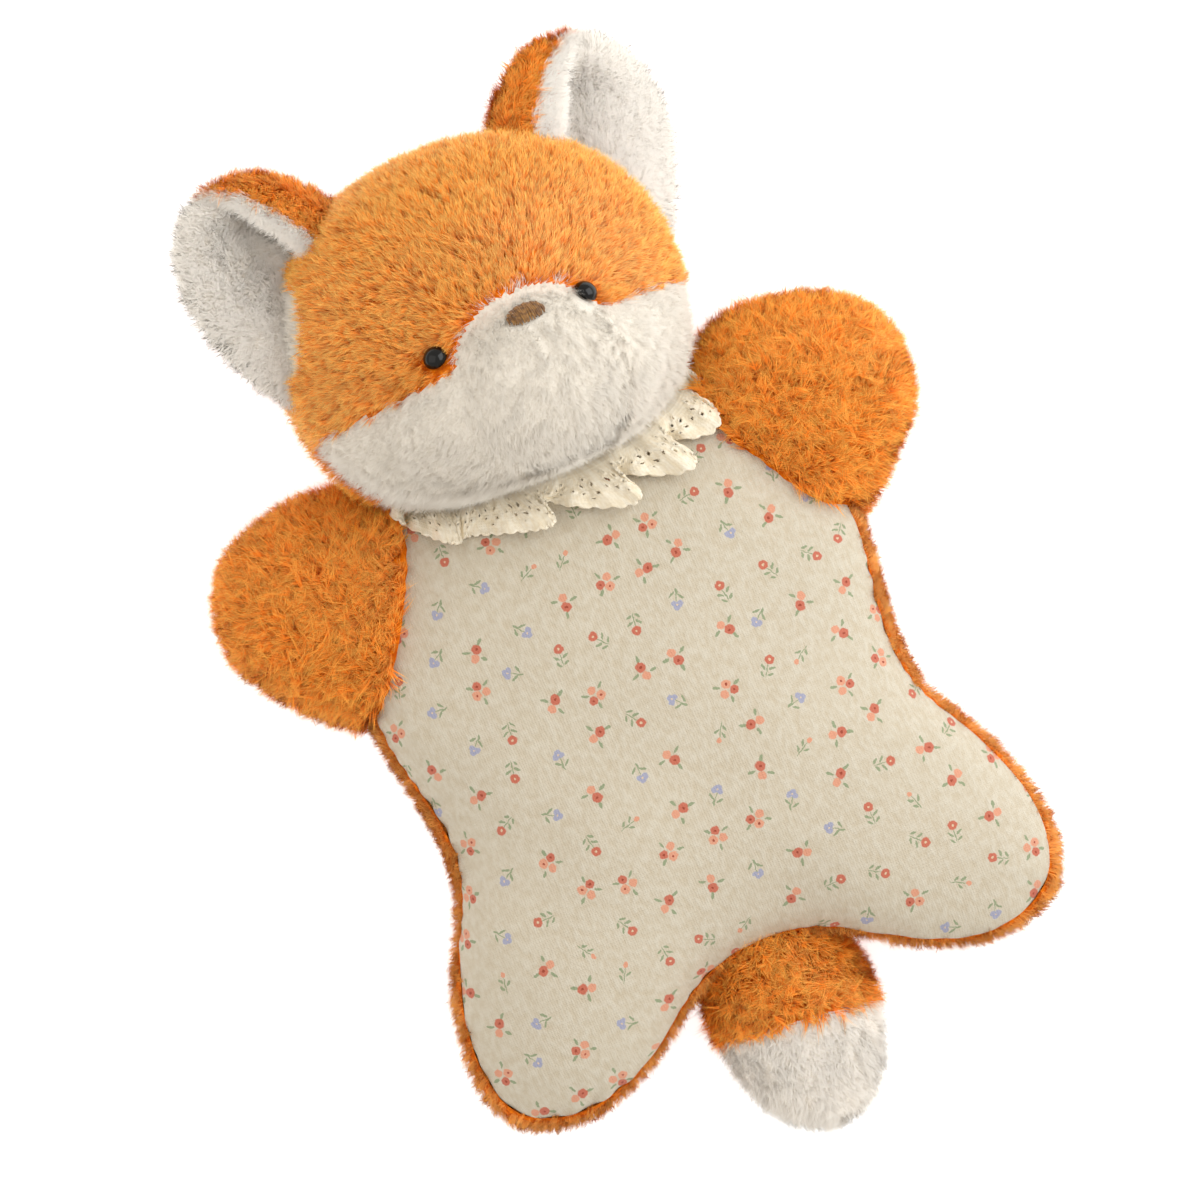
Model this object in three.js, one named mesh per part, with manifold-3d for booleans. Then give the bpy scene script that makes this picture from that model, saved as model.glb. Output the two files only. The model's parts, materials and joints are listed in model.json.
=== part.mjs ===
// A plush fox that lies on its back, in millimetres. +Z is its front and +Y points to its head.
// The origin lies on the flat of its back, under the middle of the body.
import * as THREE from "three";
import { mergeVertices } from "three/addons/utils/BufferGeometryUtils.js";
import Module from "manifold-3d";

const wasm = await Module();
wasm.setup();

// Cloth and sewing
const sewingGap = 0.3;
const plushThickness = 4;
const cottonThickness = 1.2;
const restDepth = 0.5;
const travelClearance = 0.9;
const neckClearance = 1.4;

// Body and legs, as one star-shaped form: the right half runs from the neck to the crotch
const bodyHalfWidth = 126;
const bodyNeckLength = 140;
const bodyLegLength = 127;
const bodyFrontHeight = 35;
const bodyBackHeight = 40;
const bodySeamRise = 9;
const bodyOutlineShares = [
  [0, 1],
  [0.31, 0.98],
  [0.53, 0.89],
  [0.7, 0.69],
  [0.84, 0.4],
  [0.79, 0.03],
  [0.81, -0.2],
  [0.94, -0.45],
  [1, -0.72],
  [0.95, -0.92],
  [0.79, -1],
  [0.62, -0.99],
  [0.46, -0.92],
  [0.22, -0.77],
  [0, -0.73],
];

// Head, turned a little to one side as it lies
const headHalfWidth = 81;
const headHalfLength = 67;
const headHalfDepth = 55;
const headX = -2;
const headRise = 43;
const headY = bodyNeckLength + headRise;
const headTurnDeg = 15;
const headTurnLimitDeg = 25;
const maskSideDrop = 22;
const maskMiddleDrop = 18;

// Muzzle, nose and eyes
const muzzleHalfWidth = 33;
const muzzleHalfLength = 27;
const muzzleFrontHeight = 37;
const muzzleRootDepth = 22;
const muzzleDrop = 25;
const muzzleSeamHeight = 42;
const noseHalfWidth = 8;
const noseHalfLength = 4.5;
const noseHeight = 2.2;
const noseDrop = 7.5;
const eyeRadius = 5;
const eyeDomeHeight = 4.5;
const eyeSpread = 35.2;
const eyeDrop = 8.5;
const shankRadius = 2;
const shankLength = 12;
const washerRadius = 8;
const washerThickness = 1.5;
const washerDepth = 5.9;

// Ears, as cups whose inner rim rolls over towards the front
const earHalfWidth = 37;
const earHalfDepth = 18;
const earLength = 59;
const earRootLength = 26;
const earLayerThickness = 4.4;
const earRootX = 58;
const earRootY = 37;
const earCupOffset = 5;
const earLeanDeg = 24;
const earOuterEdgeDeg = -100;
const earRimDeg = 158;
const earFoldDeg = 15;

// Arms, whose outline runs round the right arm from its root
const armLength = 66;
const armHalfWidth = 48;
const armFrontHeight = 30;
const armBackHeight = 34;
const armX = 84;
const armDrop = 53;
const armY = bodyNeckLength - armDrop;
const armSpreadDeg = 28.4;
const armLeanDeg = -4;
const armHingeDepth = 25;
const armFlapDeg = 25;
const armOutlineShares = [
  [-0.35, 0],
  [-0.22, -0.76],
  [0.03, -0.87],
  [0.44, -0.76],
  [0.82, -0.51],
  [1, -0.04],
  [0.91, 0.46],
  [0.54, 0.9],
  [0.19, 1],
  [-0.22, 0.76],
];

// Tail
const tailHalfWidth = 31;
const tailHalfLength = 47;
const tailHalfDepth = 26;
const tailX = 1.5;
const tailInset = 5;
const tailY = tailInset - bodyLegLength;
const tailPivotInset = 45;
const tailPivotY = tailPivotInset - bodyLegLength;
const tailSwingDeg = 15;
const tailTipSeam = 1;

// Lace collar
const laceWidth = 17;
const laceThickness = 0.8;
const laceLift = 0.7;
const laceRuffle = 4;
const laceSpreadDeg = 38;
const laceWaves = 8;
const laceTaper = 4;

// Tessellation, and the roundness of the forms
const bodySides = 42;
const headSides = 24;
const armSides = 18;
const tailSides = 16;
const muzzleSides = 18;
const trimSides = 10;
const bodyRings = 4;
const roundRings = 4;
const smallRings = 2;
const earColumns = 8;
const earRows = 5;
const laceSteps = 48;
const laceColumns = 2;
const sweepSteps = 6;
const bodyFullness = 2.3;
const restingFullness = 4;
const headFullness = 2.1;
const jowlFullness = 2.7;
const faceFullness = 2.4;
const turnedHeadFullness = 3.2;
const muzzleFullness = 2.6;
const roundFullness = 2;
const earFullness = 2.4;
const earTipShare = 0.97;
const armPoleShare = 0.33;
const laceEndShare = 0.5;
const normalStepShare = 0.02;

const plush = { roughness: 0.95, metalness: 0 };
const orange = { color: 0xe0832e, ...plush };
const white = { color: 0xf1ede6, ...plush };
const filling = { color: 0xf6f4ee, ...plush };
const cotton = { color: 0xf0e6cf, ...plush };
const lace = { color: 0xebe0c6, ...plush };
const gloss = { color: 0x0c0a0a, roughness: 0.12, metalness: 0 };
const washerPlastic = { color: 0xe4e2dc, roughness: 0.5, metalness: 0 };
const noseThread = { color: 0x77492a, roughness: 0.6, metalness: 0 };

// Overrun of every cutting block
const reach = 2 * (headY + headHalfLength);

const radians = THREE.MathUtils.degToRad;
const signedPower = (value, exponent) => Math.sign(value) * Math.abs(value) ** exponent;

// Superellipse, anticlockwise, whose lower half may be fuller
function oval(halfWidth, halfLength, upperFullness, sides, lowerFullness = upperFullness) {
  return Array.from({ length: sides }, (_, i) => {
    const turn = (i / sides) * 2 * Math.PI;
    const fullness = turn < Math.PI ? upperFullness : lowerFullness;
    return new THREE.Vector2(
      halfWidth * signedPower(Math.cos(turn), 2 / fullness),
      halfLength * signedPower(Math.sin(turn), 2 / fullness),
    );
  });
}

// Closed smooth line through the points, cut into equal steps
function smooth(points, sides) {
  const line = new THREE.CatmullRomCurve3(
    points.map(([x, y]) => new THREE.Vector3(x, y, 0)),
    true,
  );
  return line
    .getSpacedPoints(sides)
    .slice(0, sides)
    .map((p) => new THREE.Vector2(p.x, p.y));
}

function bodyOutline() {
  const right = bodyOutlineShares.map(([x, y]) => [
    x * bodyHalfWidth,
    y * (y > 0 ? bodyNeckLength : bodyLegLength),
  ]);
  const left = right.slice(1, -1).map(([x, y]) => [-x, y]);
  return smooth([...right.reverse(), ...left], bodySides);
}

function armOutline(side) {
  const points = armOutlineShares.map(([x, y]) => [side * x * armLength, y * armHalfWidth]);
  return smooth(side > 0 ? points : points.reverse(), armSides);
}

// Outline moved out along its normals
function moved(outline, grow) {
  return outline.map((p, i) => {
    const before = outline.at(i - 1);
    const after = outline[(i + 1) % outline.length];
    const along = after.clone().sub(before).normalize();
    return new THREE.Vector2(p.x + along.y * grow, p.y - along.x * grow);
  });
}

const rise = (share, height, fullness) => height * Math.max(0, 1 - share ** fullness) ** (1 / fullness);

// Stuffed form: rings shrink from the seam outline at z = 0 to a crown above and a sole below
function cushion(form, grow = 0) {
  const { pole, rings, crown, sole, crownFullness, soleFullness } = form;
  const rim = moved(form.outline, grow);
  const floor = form.floor === undefined ? -reach : form.floor - grow;
  const sides = rim.length;
  const positions = [];
  const addRing = (share, z) => {
    rim.forEach((p) => {
      positions.push(pole.x + share * (p.x - pole.x), pole.y + share * (p.y - pole.y), z);
    });
  };
  const shares = Array.from({ length: rings }, (_, k) => Math.sin(((k + 1) / rings) * (Math.PI / 2)));
  const undersides = shares.slice(0, -1).reverse();
  shares.forEach((share) => addRing(share, rise(share, crown + grow, crownFullness)));
  undersides.forEach((share) => {
    addRing(share, Math.max(floor, -rise(share, sole + grow, soleFullness)));
  });
  const top = positions.length / 3;
  positions.push(pole.x, pole.y, crown + grow, pole.x, pole.y, Math.max(floor, -sole - grow));
  const last = (2 * rings - 2) * sides;
  const index = [];
  for (let i = 0; i < sides; i++) {
    const next = (i + 1) % sides;
    index.push(top, i, next, top + 1, last + next, last + i);
    for (let row = 0; row < last; row += sides) {
      index.push(row + i, row + sides + i, row + sides + next);
      index.push(row + i, row + sides + next, row + next);
    }
  }
  return indexed(positions, index);
}

function indexed(positions, index) {
  const geometry = new THREE.BufferGeometry();
  geometry.setAttribute("position", new THREE.Float32BufferAttribute(positions, 3));
  geometry.setIndex(index);
  return geometry;
}

// Height of a form's crown over a point of its seam plane
function crownHeight(form, x, y) {
  const point = new THREE.Vector2(x, y).sub(form.pole);
  const outline = form.outline.map((p) => p.clone().sub(form.pole));
  for (let i = 0; i < outline.length; i++) {
    const a = outline[i];
    const b = outline[(i + 1) % outline.length];
    const turn = a.cross(b);
    const alongA = point.cross(b) / turn;
    const alongB = a.cross(point) / turn;
    if (alongA >= 0 && alongB >= 0) {
      return rise(Math.min(1, alongA + alongB), form.crown, form.crownFullness);
    }
  }
  return form.crown;
}

// Frame on a form's crown, with its z axis square to the surface
function seatOn(form, x, y) {
  const step = form.crown * normalStepShare;
  const z = crownHeight(form, x, y);
  const normal = new THREE.Vector3(
    crownHeight(form, x - step, y) - crownHeight(form, x + step, y),
    crownHeight(form, x, y - step) - crownHeight(form, x, y + step),
    2 * step,
  ).normalize();
  const frame = new THREE.Group();
  frame.position.set(x, y, z);
  frame.quaternion.setFromUnitVectors(new THREE.Vector3(0, 0, 1), normal);
  return frame;
}

// Closed sheet between two grids of points, whose rows and columns wind anticlockwise seen from the front
function closedSheet(front, back) {
  const rows = front.length;
  const columns = front[0].length;
  const positions = [...front.flat(), ...back.flat()].flatMap((p) => p.toArray());
  const at = (i, j) => i * columns + j;
  const behind = (i, j) => rows * columns + i * columns + j;
  const index = [];
  const quad = (a, b, c, d) => index.push(a, b, c, a, c, d);
  for (let i = 0; i + 1 < rows; i++) {
    for (let j = 0; j + 1 < columns; j++) {
      quad(at(i, j), at(i + 1, j), at(i + 1, j + 1), at(i, j + 1));
      quad(behind(i, j), behind(i, j + 1), behind(i + 1, j + 1), behind(i + 1, j));
    }
    const end = columns - 1;
    quad(at(i, 0), behind(i, 0), behind(i + 1, 0), at(i + 1, 0));
    quad(at(i, end), at(i + 1, end), behind(i + 1, end), behind(i, end));
  }
  for (let j = 0; j + 1 < columns; j++) {
    const end = rows - 1;
    quad(at(0, j), at(0, j + 1), behind(0, j + 1), behind(0, j));
    quad(at(end, j), behind(end, j), behind(end, j + 1), at(end, j + 1));
  }
  return indexed(positions, index);
}

// Closed geometry as a solid that can be joined and cut
function solid(geometry, matrix = new THREE.Matrix4()) {
  const bare = geometry.clone().applyMatrix4(matrix);
  bare.deleteAttribute("normal");
  bare.deleteAttribute("uv");
  const merged = mergeVertices(bare);
  return new wasm.Manifold(
    new wasm.Mesh({
      numProp: 3,
      vertProperties: merged.getAttribute("position").array,
      triVerts: Uint32Array.from(merged.index.array),
    }),
  );
}

// Named mesh of the largest body of a solid: a cut may leave crumbs at a thin edge
function piece(name, shape, finish) {
  const bodies = shape.decompose().sort((a, b) => b.volume() - a.volume());
  const { vertProperties, numProp, triVerts } = bodies[0].getMesh();
  const corners = Array.from(vertProperties).filter((_, i) => i % numProp < 3);
  const geometry = indexed(corners, Array.from(triVerts));
  geometry.computeVertexNormals();
  const mesh = new THREE.Mesh(geometry, new THREE.MeshStandardMaterial(finish));
  mesh.name = name;
  return mesh;
}

function block(low, high) {
  const size = high.clone().sub(low);
  const middle = low.clone().add(high).multiplyScalar(0.5);
  return solid(new THREE.BoxGeometry(...size).translate(...middle));
}

// Half spaces that part the panels, each half a sewing gap from the seam
const above = (z) => {
  const low = new THREE.Vector3(-reach, -reach, z + sewingGap / 2);
  return block(low, new THREE.Vector3(reach, reach, reach));
};
const below = (z) => {
  const high = new THREE.Vector3(reach, reach, z - sewingGap / 2);
  return block(new THREE.Vector3(-reach, -reach, -reach), high);
};
const beside = (side) => {
  const near = (side * sewingGap) / 2;
  const low = new THREE.Vector3(Math.min(near, side * reach), -reach, -reach);
  return block(low, new THREE.Vector3(Math.max(near, side * reach), reach, reach));
};
const beyond = (y, side) => {
  const near = y + (side * sewingGap) / 2;
  const low = new THREE.Vector3(-reach, Math.min(near, side * reach), -reach);
  return block(low, new THREE.Vector3(reach, Math.max(near, side * reach), reach));
};

// Matrix that brings geometry of the source frame into the target frame
function into(target, source) {
  target.updateWorldMatrix(true, false);
  source.updateWorldMatrix(true, false);
  return target.matrixWorld.clone().invert().multiply(source.matrixWorld);
}

// Turn about an axis through a point
function turnAbout(point, axis, degrees) {
  const there = new THREE.Matrix4().makeTranslation(point);
  const back = new THREE.Matrix4().makeTranslation(point.clone().negate());
  return there.multiply(new THREE.Matrix4().makeRotationAxis(axis, radians(degrees))).multiply(back);
}

// What a still piece sweeps through, seen from a piece that flaps both ways about an axis
function swept(geometry, matrix, point, axis, degrees) {
  return Array.from({ length: sweepSteps + 1 }, (_, i) => (2 * i) / sweepSteps - 1)
    .map((share) => turnAbout(point, axis, share * degrees))
    .map((turn) => solid(geometry, turn.multiply(matrix)))
    .reduce((all, one) => all.add(one));
}

const centre = new THREE.Vector2();
const bodyBase = bodyBackHeight - restDepth;
const bodyForm = {
  outline: bodyOutline(),
  pole: centre,
  crown: bodyFrontHeight,
  sole: bodyBackHeight,
  floor: -bodyBase,
  rings: bodyRings,
  crownFullness: bodyFullness,
  soleFullness: restingFullness,
};

const headForm = {
  outline: oval(headHalfWidth, headHalfLength, headFullness, headSides, jowlFullness),
  pole: centre,
  crown: headHalfDepth,
  sole: headHalfDepth,
  rings: roundRings,
  crownFullness: faceFullness,
  soleFullness: faceFullness,
};

// Half depth of the head once it is turned to one side
function turnedHeadDepth(degrees) {
  const turned = cushion(headForm).rotateY(radians(degrees));
  turned.computeBoundingBox();
  return turned.boundingBox.max.z;
}

// Space that the head takes in all its turns, with its poles on the neck's axis
const neckSeatForm = {
  outline: oval(headHalfWidth, turnedHeadDepth(headTurnLimitDeg), turnedHeadFullness, headSides),
  pole: centre,
  crown: headHalfLength,
  sole: headHalfLength,
  rings: roundRings,
  crownFullness: jowlFullness,
  soleFullness: jowlFullness,
};

const muzzleForm = {
  outline: oval(muzzleHalfWidth, muzzleHalfLength, headFullness, muzzleSides),
  pole: centre,
  crown: muzzleFrontHeight,
  sole: muzzleRootDepth,
  rings: roundRings,
  crownFullness: muzzleFullness,
  soleFullness: roundFullness,
};

const noseForm = {
  outline: oval(noseHalfWidth, noseHalfLength, headFullness, trimSides),
  pole: centre,
  crown: noseHeight,
  sole: noseHalfLength,
  rings: smallRings,
  crownFullness: muzzleFullness,
  soleFullness: roundFullness,
};

const armForm = (side) => ({
  outline: armOutline(side),
  pole: new THREE.Vector2(side * armPoleShare * armLength, 0),
  crown: armFrontHeight,
  sole: armBackHeight,
  floor: restDepth - armBackHeight,
  rings: roundRings,
  crownFullness: bodyFullness,
  soleFullness: restingFullness,
});

const tailForm = {
  outline: oval(tailHalfWidth, tailHalfLength, headFullness, tailSides),
  pole: centre,
  crown: tailHalfDepth,
  sole: tailHalfDepth,
  floor: restDepth - tailHalfDepth,
  rings: roundRings,
  crownFullness: roundFullness,
  soleFullness: restingFullness,
};

// Frames of the parts that move
const torso = new THREE.Group();
torso.position.z = bodyBase;

const head = new THREE.Group();
head.rotation.y = radians(headTurnDeg);
head.position.set(headX, headY, turnedHeadDepth(headTurnDeg) - restDepth);

const neckSeatFrame = new THREE.Group();
neckSeatFrame.position.copy(head.position);
neckSeatFrame.rotation.x = Math.PI / 2;

const floorFrame = new THREE.Group();

function neckSeatIn(frame) {
  return solid(cushion(neckSeatForm, neckClearance), into(frame, neckSeatFrame));
}

function addTorso() {
  const outer = solid(cushion(bodyForm));
  const seat = neckSeatIn(torso);
  const cottonInside = solid(cushion(bodyForm, -cottonThickness));
  const plushInside = solid(cushion(bodyForm, -plushThickness));
  const frontFilling = solid(cushion(bodyForm, -cottonThickness - sewingGap));
  const backFilling = solid(cushion(bodyForm, -plushThickness - sewingGap));
  const front = above(bodySeamRise);
  const back = below(bodySeamRise);
  torso.add(
    piece("front_panel", outer.intersect(front).subtract(cottonInside).subtract(seat), cotton),
    piece("back_panel", outer.intersect(back).subtract(plushInside).subtract(seat), orange),
    piece(
      "body_stuffing",
      frontFilling.intersect(front).add(backFilling).subtract(seat),
      filling,
    ),
    piece("lace_collar", laceCollar().subtract(seat), lace),
  );
}

// Ruffled strip along the front of the neck, lying on the body
function laceCollar() {
  const sheet = (lift) =>
    Array.from({ length: laceSteps + 1 }, (_, i) => {
      const share = (2 * i) / laceSteps - 1;
      const turn = share * radians(laceSpreadDeg);
      const away = new THREE.Vector2(Math.sin(turn), -Math.cos(turn));
      const neck =
        (Math.abs(away.x / headHalfWidth) ** jowlFullness +
          Math.abs(away.y / headHalfLength) ** jowlFullness) **
        (-1 / jowlFullness);
      const width = laceWidth * (1 - (1 - laceEndShare) * share ** laceTaper);
      const wave = (1 + Math.sin(share * laceWaves * Math.PI)) / 2;
      return Array.from({ length: laceColumns }, (_, j) => {
        const across = j / (laceColumns - 1);
        const spot = away.clone().multiplyScalar(neck + 2 * travelClearance + across * width);
        spot.add(new THREE.Vector2(headX, headY));
        const ground = crownHeight(bodyForm, spot.x, spot.y);
        return new THREE.Vector3(spot.x, spot.y, ground + lift + across * wave * laceRuffle);
      });
    });
  return solid(closedSheet(sheet(laceLift), sheet(laceLift + laceThickness)));
}

// Prism over everything below the mask's seam, which rises a little to the middle of the face
function belowMask(offset) {
  const shape = new THREE.Shape([
    new THREE.Vector2(-reach, -reach),
    new THREE.Vector2(reach, -reach),
    new THREE.Vector2(reach, offset - maskSideDrop),
    new THREE.Vector2(headHalfWidth, offset - maskSideDrop),
    new THREE.Vector2(0, offset - maskMiddleDrop),
    new THREE.Vector2(-headHalfWidth, offset - maskSideDrop),
    new THREE.Vector2(-reach, offset - maskSideDrop),
  ]);
  return solid(new THREE.ExtrudeGeometry(shape, { depth: reach, bevelEnabled: false }));
}

function addHead() {
  const outer = solid(cushion(headForm));
  const clear = solid(cushion(headForm, sewingGap));
  const shell = outer.subtract(solid(cushion(headForm, -plushThickness)));
  const stuffing = solid(cushion(headForm, -plushThickness - sewingGap));
  const ground = solid(
    new THREE.BoxGeometry(reach, reach, reach).translate(0, 0, -reach / 2),
    into(head, floorFrame),
  );
  const eyes = [-1, 1].map((side) => {
    const frame = seatOn(headForm, side * eyeSpread, -eyeDrop);
    head.add(frame);
    return { frame, label: side < 0 ? "left" : "right" };
  });
  const holes = eyes.map(({ frame }) => solid(eyeShape(sewingGap), into(head, frame)));
  const pockets = eyes.map(({ frame }) => solid(washerPocket(), into(head, frame)));
  const face = holes.reduce((all, hole) => all.subtract(hole), shell.intersect(above(0)));
  const fill = [...holes, ...pockets].reduce((all, hole) => all.subtract(hole), stuffing);
  const cheeks = face.intersect(belowMask(-sewingGap / 2));
  head.add(
    piece("head_front", face.subtract(belowMask(sewingGap / 2)), orange),
    piece("head_back", shell.intersect(below(0)).subtract(ground), orange),
    piece("cheek_left", cheeks.intersect(beside(-1)), white),
    piece("cheek_right", cheeks.intersect(beside(1)), white),
    piece("head_stuffing", fill, filling),
  );
  eyes.forEach(({ frame, label }) => {
    frame.add(piece(`eye_${label}`, solid(eyeShape(0)), gloss));
    frame.add(piece(`eye_washer_${label}`, solid(washerShape()), washerPlastic));
  });
  addMuzzle(clear);
  [-1, 1].forEach(addEar);
}

function turned(points) {
  const profile = points.map(([radius, height]) => new THREE.Vector2(radius, height));
  return new THREE.LatheGeometry(profile, trimSides).rotateX(Math.PI / 2);
}

// Dome on a shank that runs back into the head
function eyeShape(grow) {
  const dome = Array.from({ length: smallRings + 1 }, (_, i) => {
    const turn = (i / smallRings) * (Math.PI / 2);
    return [
      i === smallRings ? 0 : (eyeRadius + grow) * Math.cos(turn),
      sewingGap - grow + (eyeDomeHeight + 2 * grow) * Math.sin(turn),
    ];
  });
  const end = -shankLength - grow;
  const shank = shankRadius + grow;
  return turned([[0, end], [shank, end], [shank, sewingGap - grow], ...dome]);
}

function washerShape() {
  const hole = shankRadius + sewingGap;
  const low = -washerDepth - washerThickness;
  return turned([
    [hole, low],
    [washerRadius, low],
    [washerRadius, -washerDepth],
    [hole, -washerDepth],
    [hole, low],
  ]);
}

function washerPocket() {
  const radius = washerRadius + sewingGap;
  const low = -washerDepth - washerThickness - sewingGap;
  return turned([
    [0, low],
    [radius, low],
    [radius, 0],
    [0, 0],
  ]);
}

function addMuzzle(headClear) {
  const frame = new THREE.Group();
  frame.position.set(0, -muzzleDrop, muzzleSeamHeight);
  head.add(frame);
  const place = into(head, frame);
  const outer = solid(cushion(muzzleForm), place).subtract(headClear);
  const inside = solid(cushion(muzzleForm, -plushThickness), place);
  const fill = solid(cushion(muzzleForm, -plushThickness - sewingGap), place);
  const noseFrame = seatOn(muzzleForm, 0, muzzleDrop - noseDrop);
  frame.add(noseFrame);
  const clear = solid(cushion(muzzleForm, sewingGap), place);
  const nose = solid(cushion(noseForm), into(head, noseFrame)).subtract(clear);
  head.add(
    piece("muzzle", outer.subtract(inside), white),
    piece("muzzle_stuffing", fill.subtract(headClear), filling),
    piece("nose", nose, noseThread),
  );
}

// Layer of an ear between two depths below its outer surface
function earLayer(side, from, to) {
  const grid = (depth) =>
    Array.from({ length: earRows + 1 }, (_, i) => {
      const low = -earRootLength / earLength;
      const share = low + (earTipShare - low) * Math.sin((i / earRows) * (Math.PI / 2));
      const width = Math.sqrt(1 - Math.abs(share) ** earFullness);
      return Array.from({ length: earColumns + 1 }, (_, j) => {
        const turn = radians(earOuterEdgeDeg + (j / earColumns) * (earRimDeg - earOuterEdgeDeg));
        const across = width * (earHalfWidth - depth) * Math.sin(turn) - earCupOffset;
        const up = -width * (earHalfDepth - depth) * Math.cos(turn);
        return new THREE.Vector3(-side * across, share * earLength, up);
      });
    });
  return side < 0 ? closedSheet(grid(from), grid(to)) : closedSheet(grid(to), grid(from));
}

function addEar(side) {
  const label = side < 0 ? "left" : "right";
  const frame = new THREE.Group();
  frame.position.set(side * earRootX, earRootY, 0);
  frame.rotation.z = -side * radians(earLeanDeg);
  head.add(frame);
  const cut = swept(
    cushion(headForm, travelClearance),
    into(frame, head),
    new THREE.Vector3(),
    new THREE.Vector3(1, 0, 0),
    earFoldDeg,
  );
  const middle = earLayerThickness + sewingGap;
  const back = solid(earLayer(side, 0, earLayerThickness));
  const lining = solid(earLayer(side, middle, middle + earLayerThickness));
  frame.add(piece(`ear_${label}_back`, back.subtract(cut), orange));
  frame.add(piece(`ear_${label}_lining`, lining.subtract(cut), white));
}

function addArm(side) {
  const label = side < 0 ? "left" : "right";
  const frame = new THREE.Group();
  frame.position.set(side * armX, armY, armBackHeight - restDepth);
  frame.rotation.z = radians(side * armSpreadDeg + armLeanDeg);
  const form = armForm(side);
  const hinge = new THREE.Vector3(-side * armHingeDepth, 0, 0);
  const along = new THREE.Vector3(0, 1, 0);
  const bodyCut = swept(
    cushion(bodyForm, travelClearance),
    into(frame, torso),
    hinge,
    along,
    armFlapDeg,
  );
  const headCut = swept(
    cushion(neckSeatForm, travelClearance),
    into(frame, neckSeatFrame),
    hinge,
    along,
    armFlapDeg,
  );
  const cut = bodyCut.add(headCut);
  const shell = solid(cushion(form))
    .subtract(solid(cushion(form, -plushThickness)))
    .subtract(cut);
  const fill = solid(cushion(form, -plushThickness - sewingGap)).subtract(cut);
  frame.add(piece(`arm_${label}_front`, shell.intersect(above(0)), orange));
  frame.add(piece(`arm_${label}_back`, shell.intersect(below(0)), orange));
  frame.add(piece(`arm_${label}_stuffing`, fill, filling));
  return frame;
}

function addTail() {
  const frame = new THREE.Group();
  frame.position.set(tailX, tailY, tailHalfDepth - restDepth);
  const cut = swept(
    cushion(bodyForm, travelClearance),
    into(frame, torso),
    new THREE.Vector3(0, tailPivotY - tailY, 0),
    new THREE.Vector3(0, 0, 1),
    tailSwingDeg,
  );
  const shell = solid(cushion(tailForm))
    .subtract(solid(cushion(tailForm, -plushThickness)))
    .subtract(cut);
  const fill = solid(cushion(tailForm, -plushThickness - sewingGap)).subtract(cut);
  frame.add(piece("tail_base", shell.intersect(beyond(tailTipSeam, 1)), orange));
  frame.add(piece("tail_tip", shell.intersect(beyond(tailTipSeam, -1)), white));
  frame.add(piece("tail_stuffing", fill, filling));
  return frame;
}

addTorso();
addHead();

const fox = new THREE.Group();
fox.add(torso, head, addArm(-1), addArm(1), addTail());

export default fox;
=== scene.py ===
import json
import logging
import math
from collections.abc import Callable, Iterable, Mapping
from dataclasses import dataclass, field, fields
from enum import Enum
from functools import cache

import bpy
import numpy as np
from mathutils import Matrix, Vector
from mathutils.bvhtree import BVHTree


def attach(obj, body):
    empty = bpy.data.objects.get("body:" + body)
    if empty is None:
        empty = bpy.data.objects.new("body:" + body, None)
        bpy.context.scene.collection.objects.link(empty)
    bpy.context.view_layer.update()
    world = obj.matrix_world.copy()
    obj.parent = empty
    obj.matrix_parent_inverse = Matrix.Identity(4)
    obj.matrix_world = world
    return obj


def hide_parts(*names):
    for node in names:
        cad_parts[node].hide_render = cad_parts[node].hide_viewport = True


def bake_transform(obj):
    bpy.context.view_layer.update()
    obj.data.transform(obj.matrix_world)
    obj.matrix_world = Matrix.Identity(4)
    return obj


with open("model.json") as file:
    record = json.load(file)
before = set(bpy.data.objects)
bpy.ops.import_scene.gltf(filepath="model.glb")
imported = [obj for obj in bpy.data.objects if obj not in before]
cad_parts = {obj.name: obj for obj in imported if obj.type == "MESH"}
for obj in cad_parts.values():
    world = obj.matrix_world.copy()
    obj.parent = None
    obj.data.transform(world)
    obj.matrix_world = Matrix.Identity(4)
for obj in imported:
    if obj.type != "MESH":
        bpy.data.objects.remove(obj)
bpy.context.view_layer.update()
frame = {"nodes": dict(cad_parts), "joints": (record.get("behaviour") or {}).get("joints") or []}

log = logging.getLogger("plush_fox")

MM = 0.001
Points = np.ndarray
Object = bpy.types.Object
Material = bpy.types.Material
Field = Callable[[Points], np.ndarray]
Colour = tuple[float, ...]
Tree = bpy.types.NodeTree
Socket = bpy.types.NodeSocket
Sockets = Mapping[str, Socket]

CUT_MAP = "cut"
FIBRE_MAP = "OFBake"


class Side(Enum):
    """Side of the toy, as the viewer sees it."""

    LEFT = -1
    RIGHT = 1

    @property
    def label(self) -> str:
        """The side's name in lower case."""
        return self.name.lower()


class Slot(Enum):
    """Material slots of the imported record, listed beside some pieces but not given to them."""

    COTTON = "printed_cotton"
    ORANGE = "orange_plush"
    WHITE = "white_plush"
    LACE = "cotton_lace"
    THREAD = "brown_thread"
    GLOSS = "black_gloss"


def paint(red: int, green: int, blue: int) -> Colour:
    """A screen colour as the linear colour that shaders take."""
    channels = [c / 255 for c in (red, green, blue)]
    linear = [c / 12.92 if c <= 0.04045 else ((c + 0.055) / 1.055) ** 2.4 for c in channels]
    return (*linear, 1.0)


def unit(vectors: Points) -> Points:
    """Vectors of length one."""
    return vectors / np.maximum(np.linalg.norm(vectors, axis=-1, keepdims=True), 1e-9)


def smoothstep(values: np.ndarray, low: float, high: float) -> np.ndarray:
    """Eased step from 0 at low to 1 at high."""
    t = np.clip((values - low) / (high - low), 0, 1)
    return t * t * (3 - 2 * t)


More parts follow.
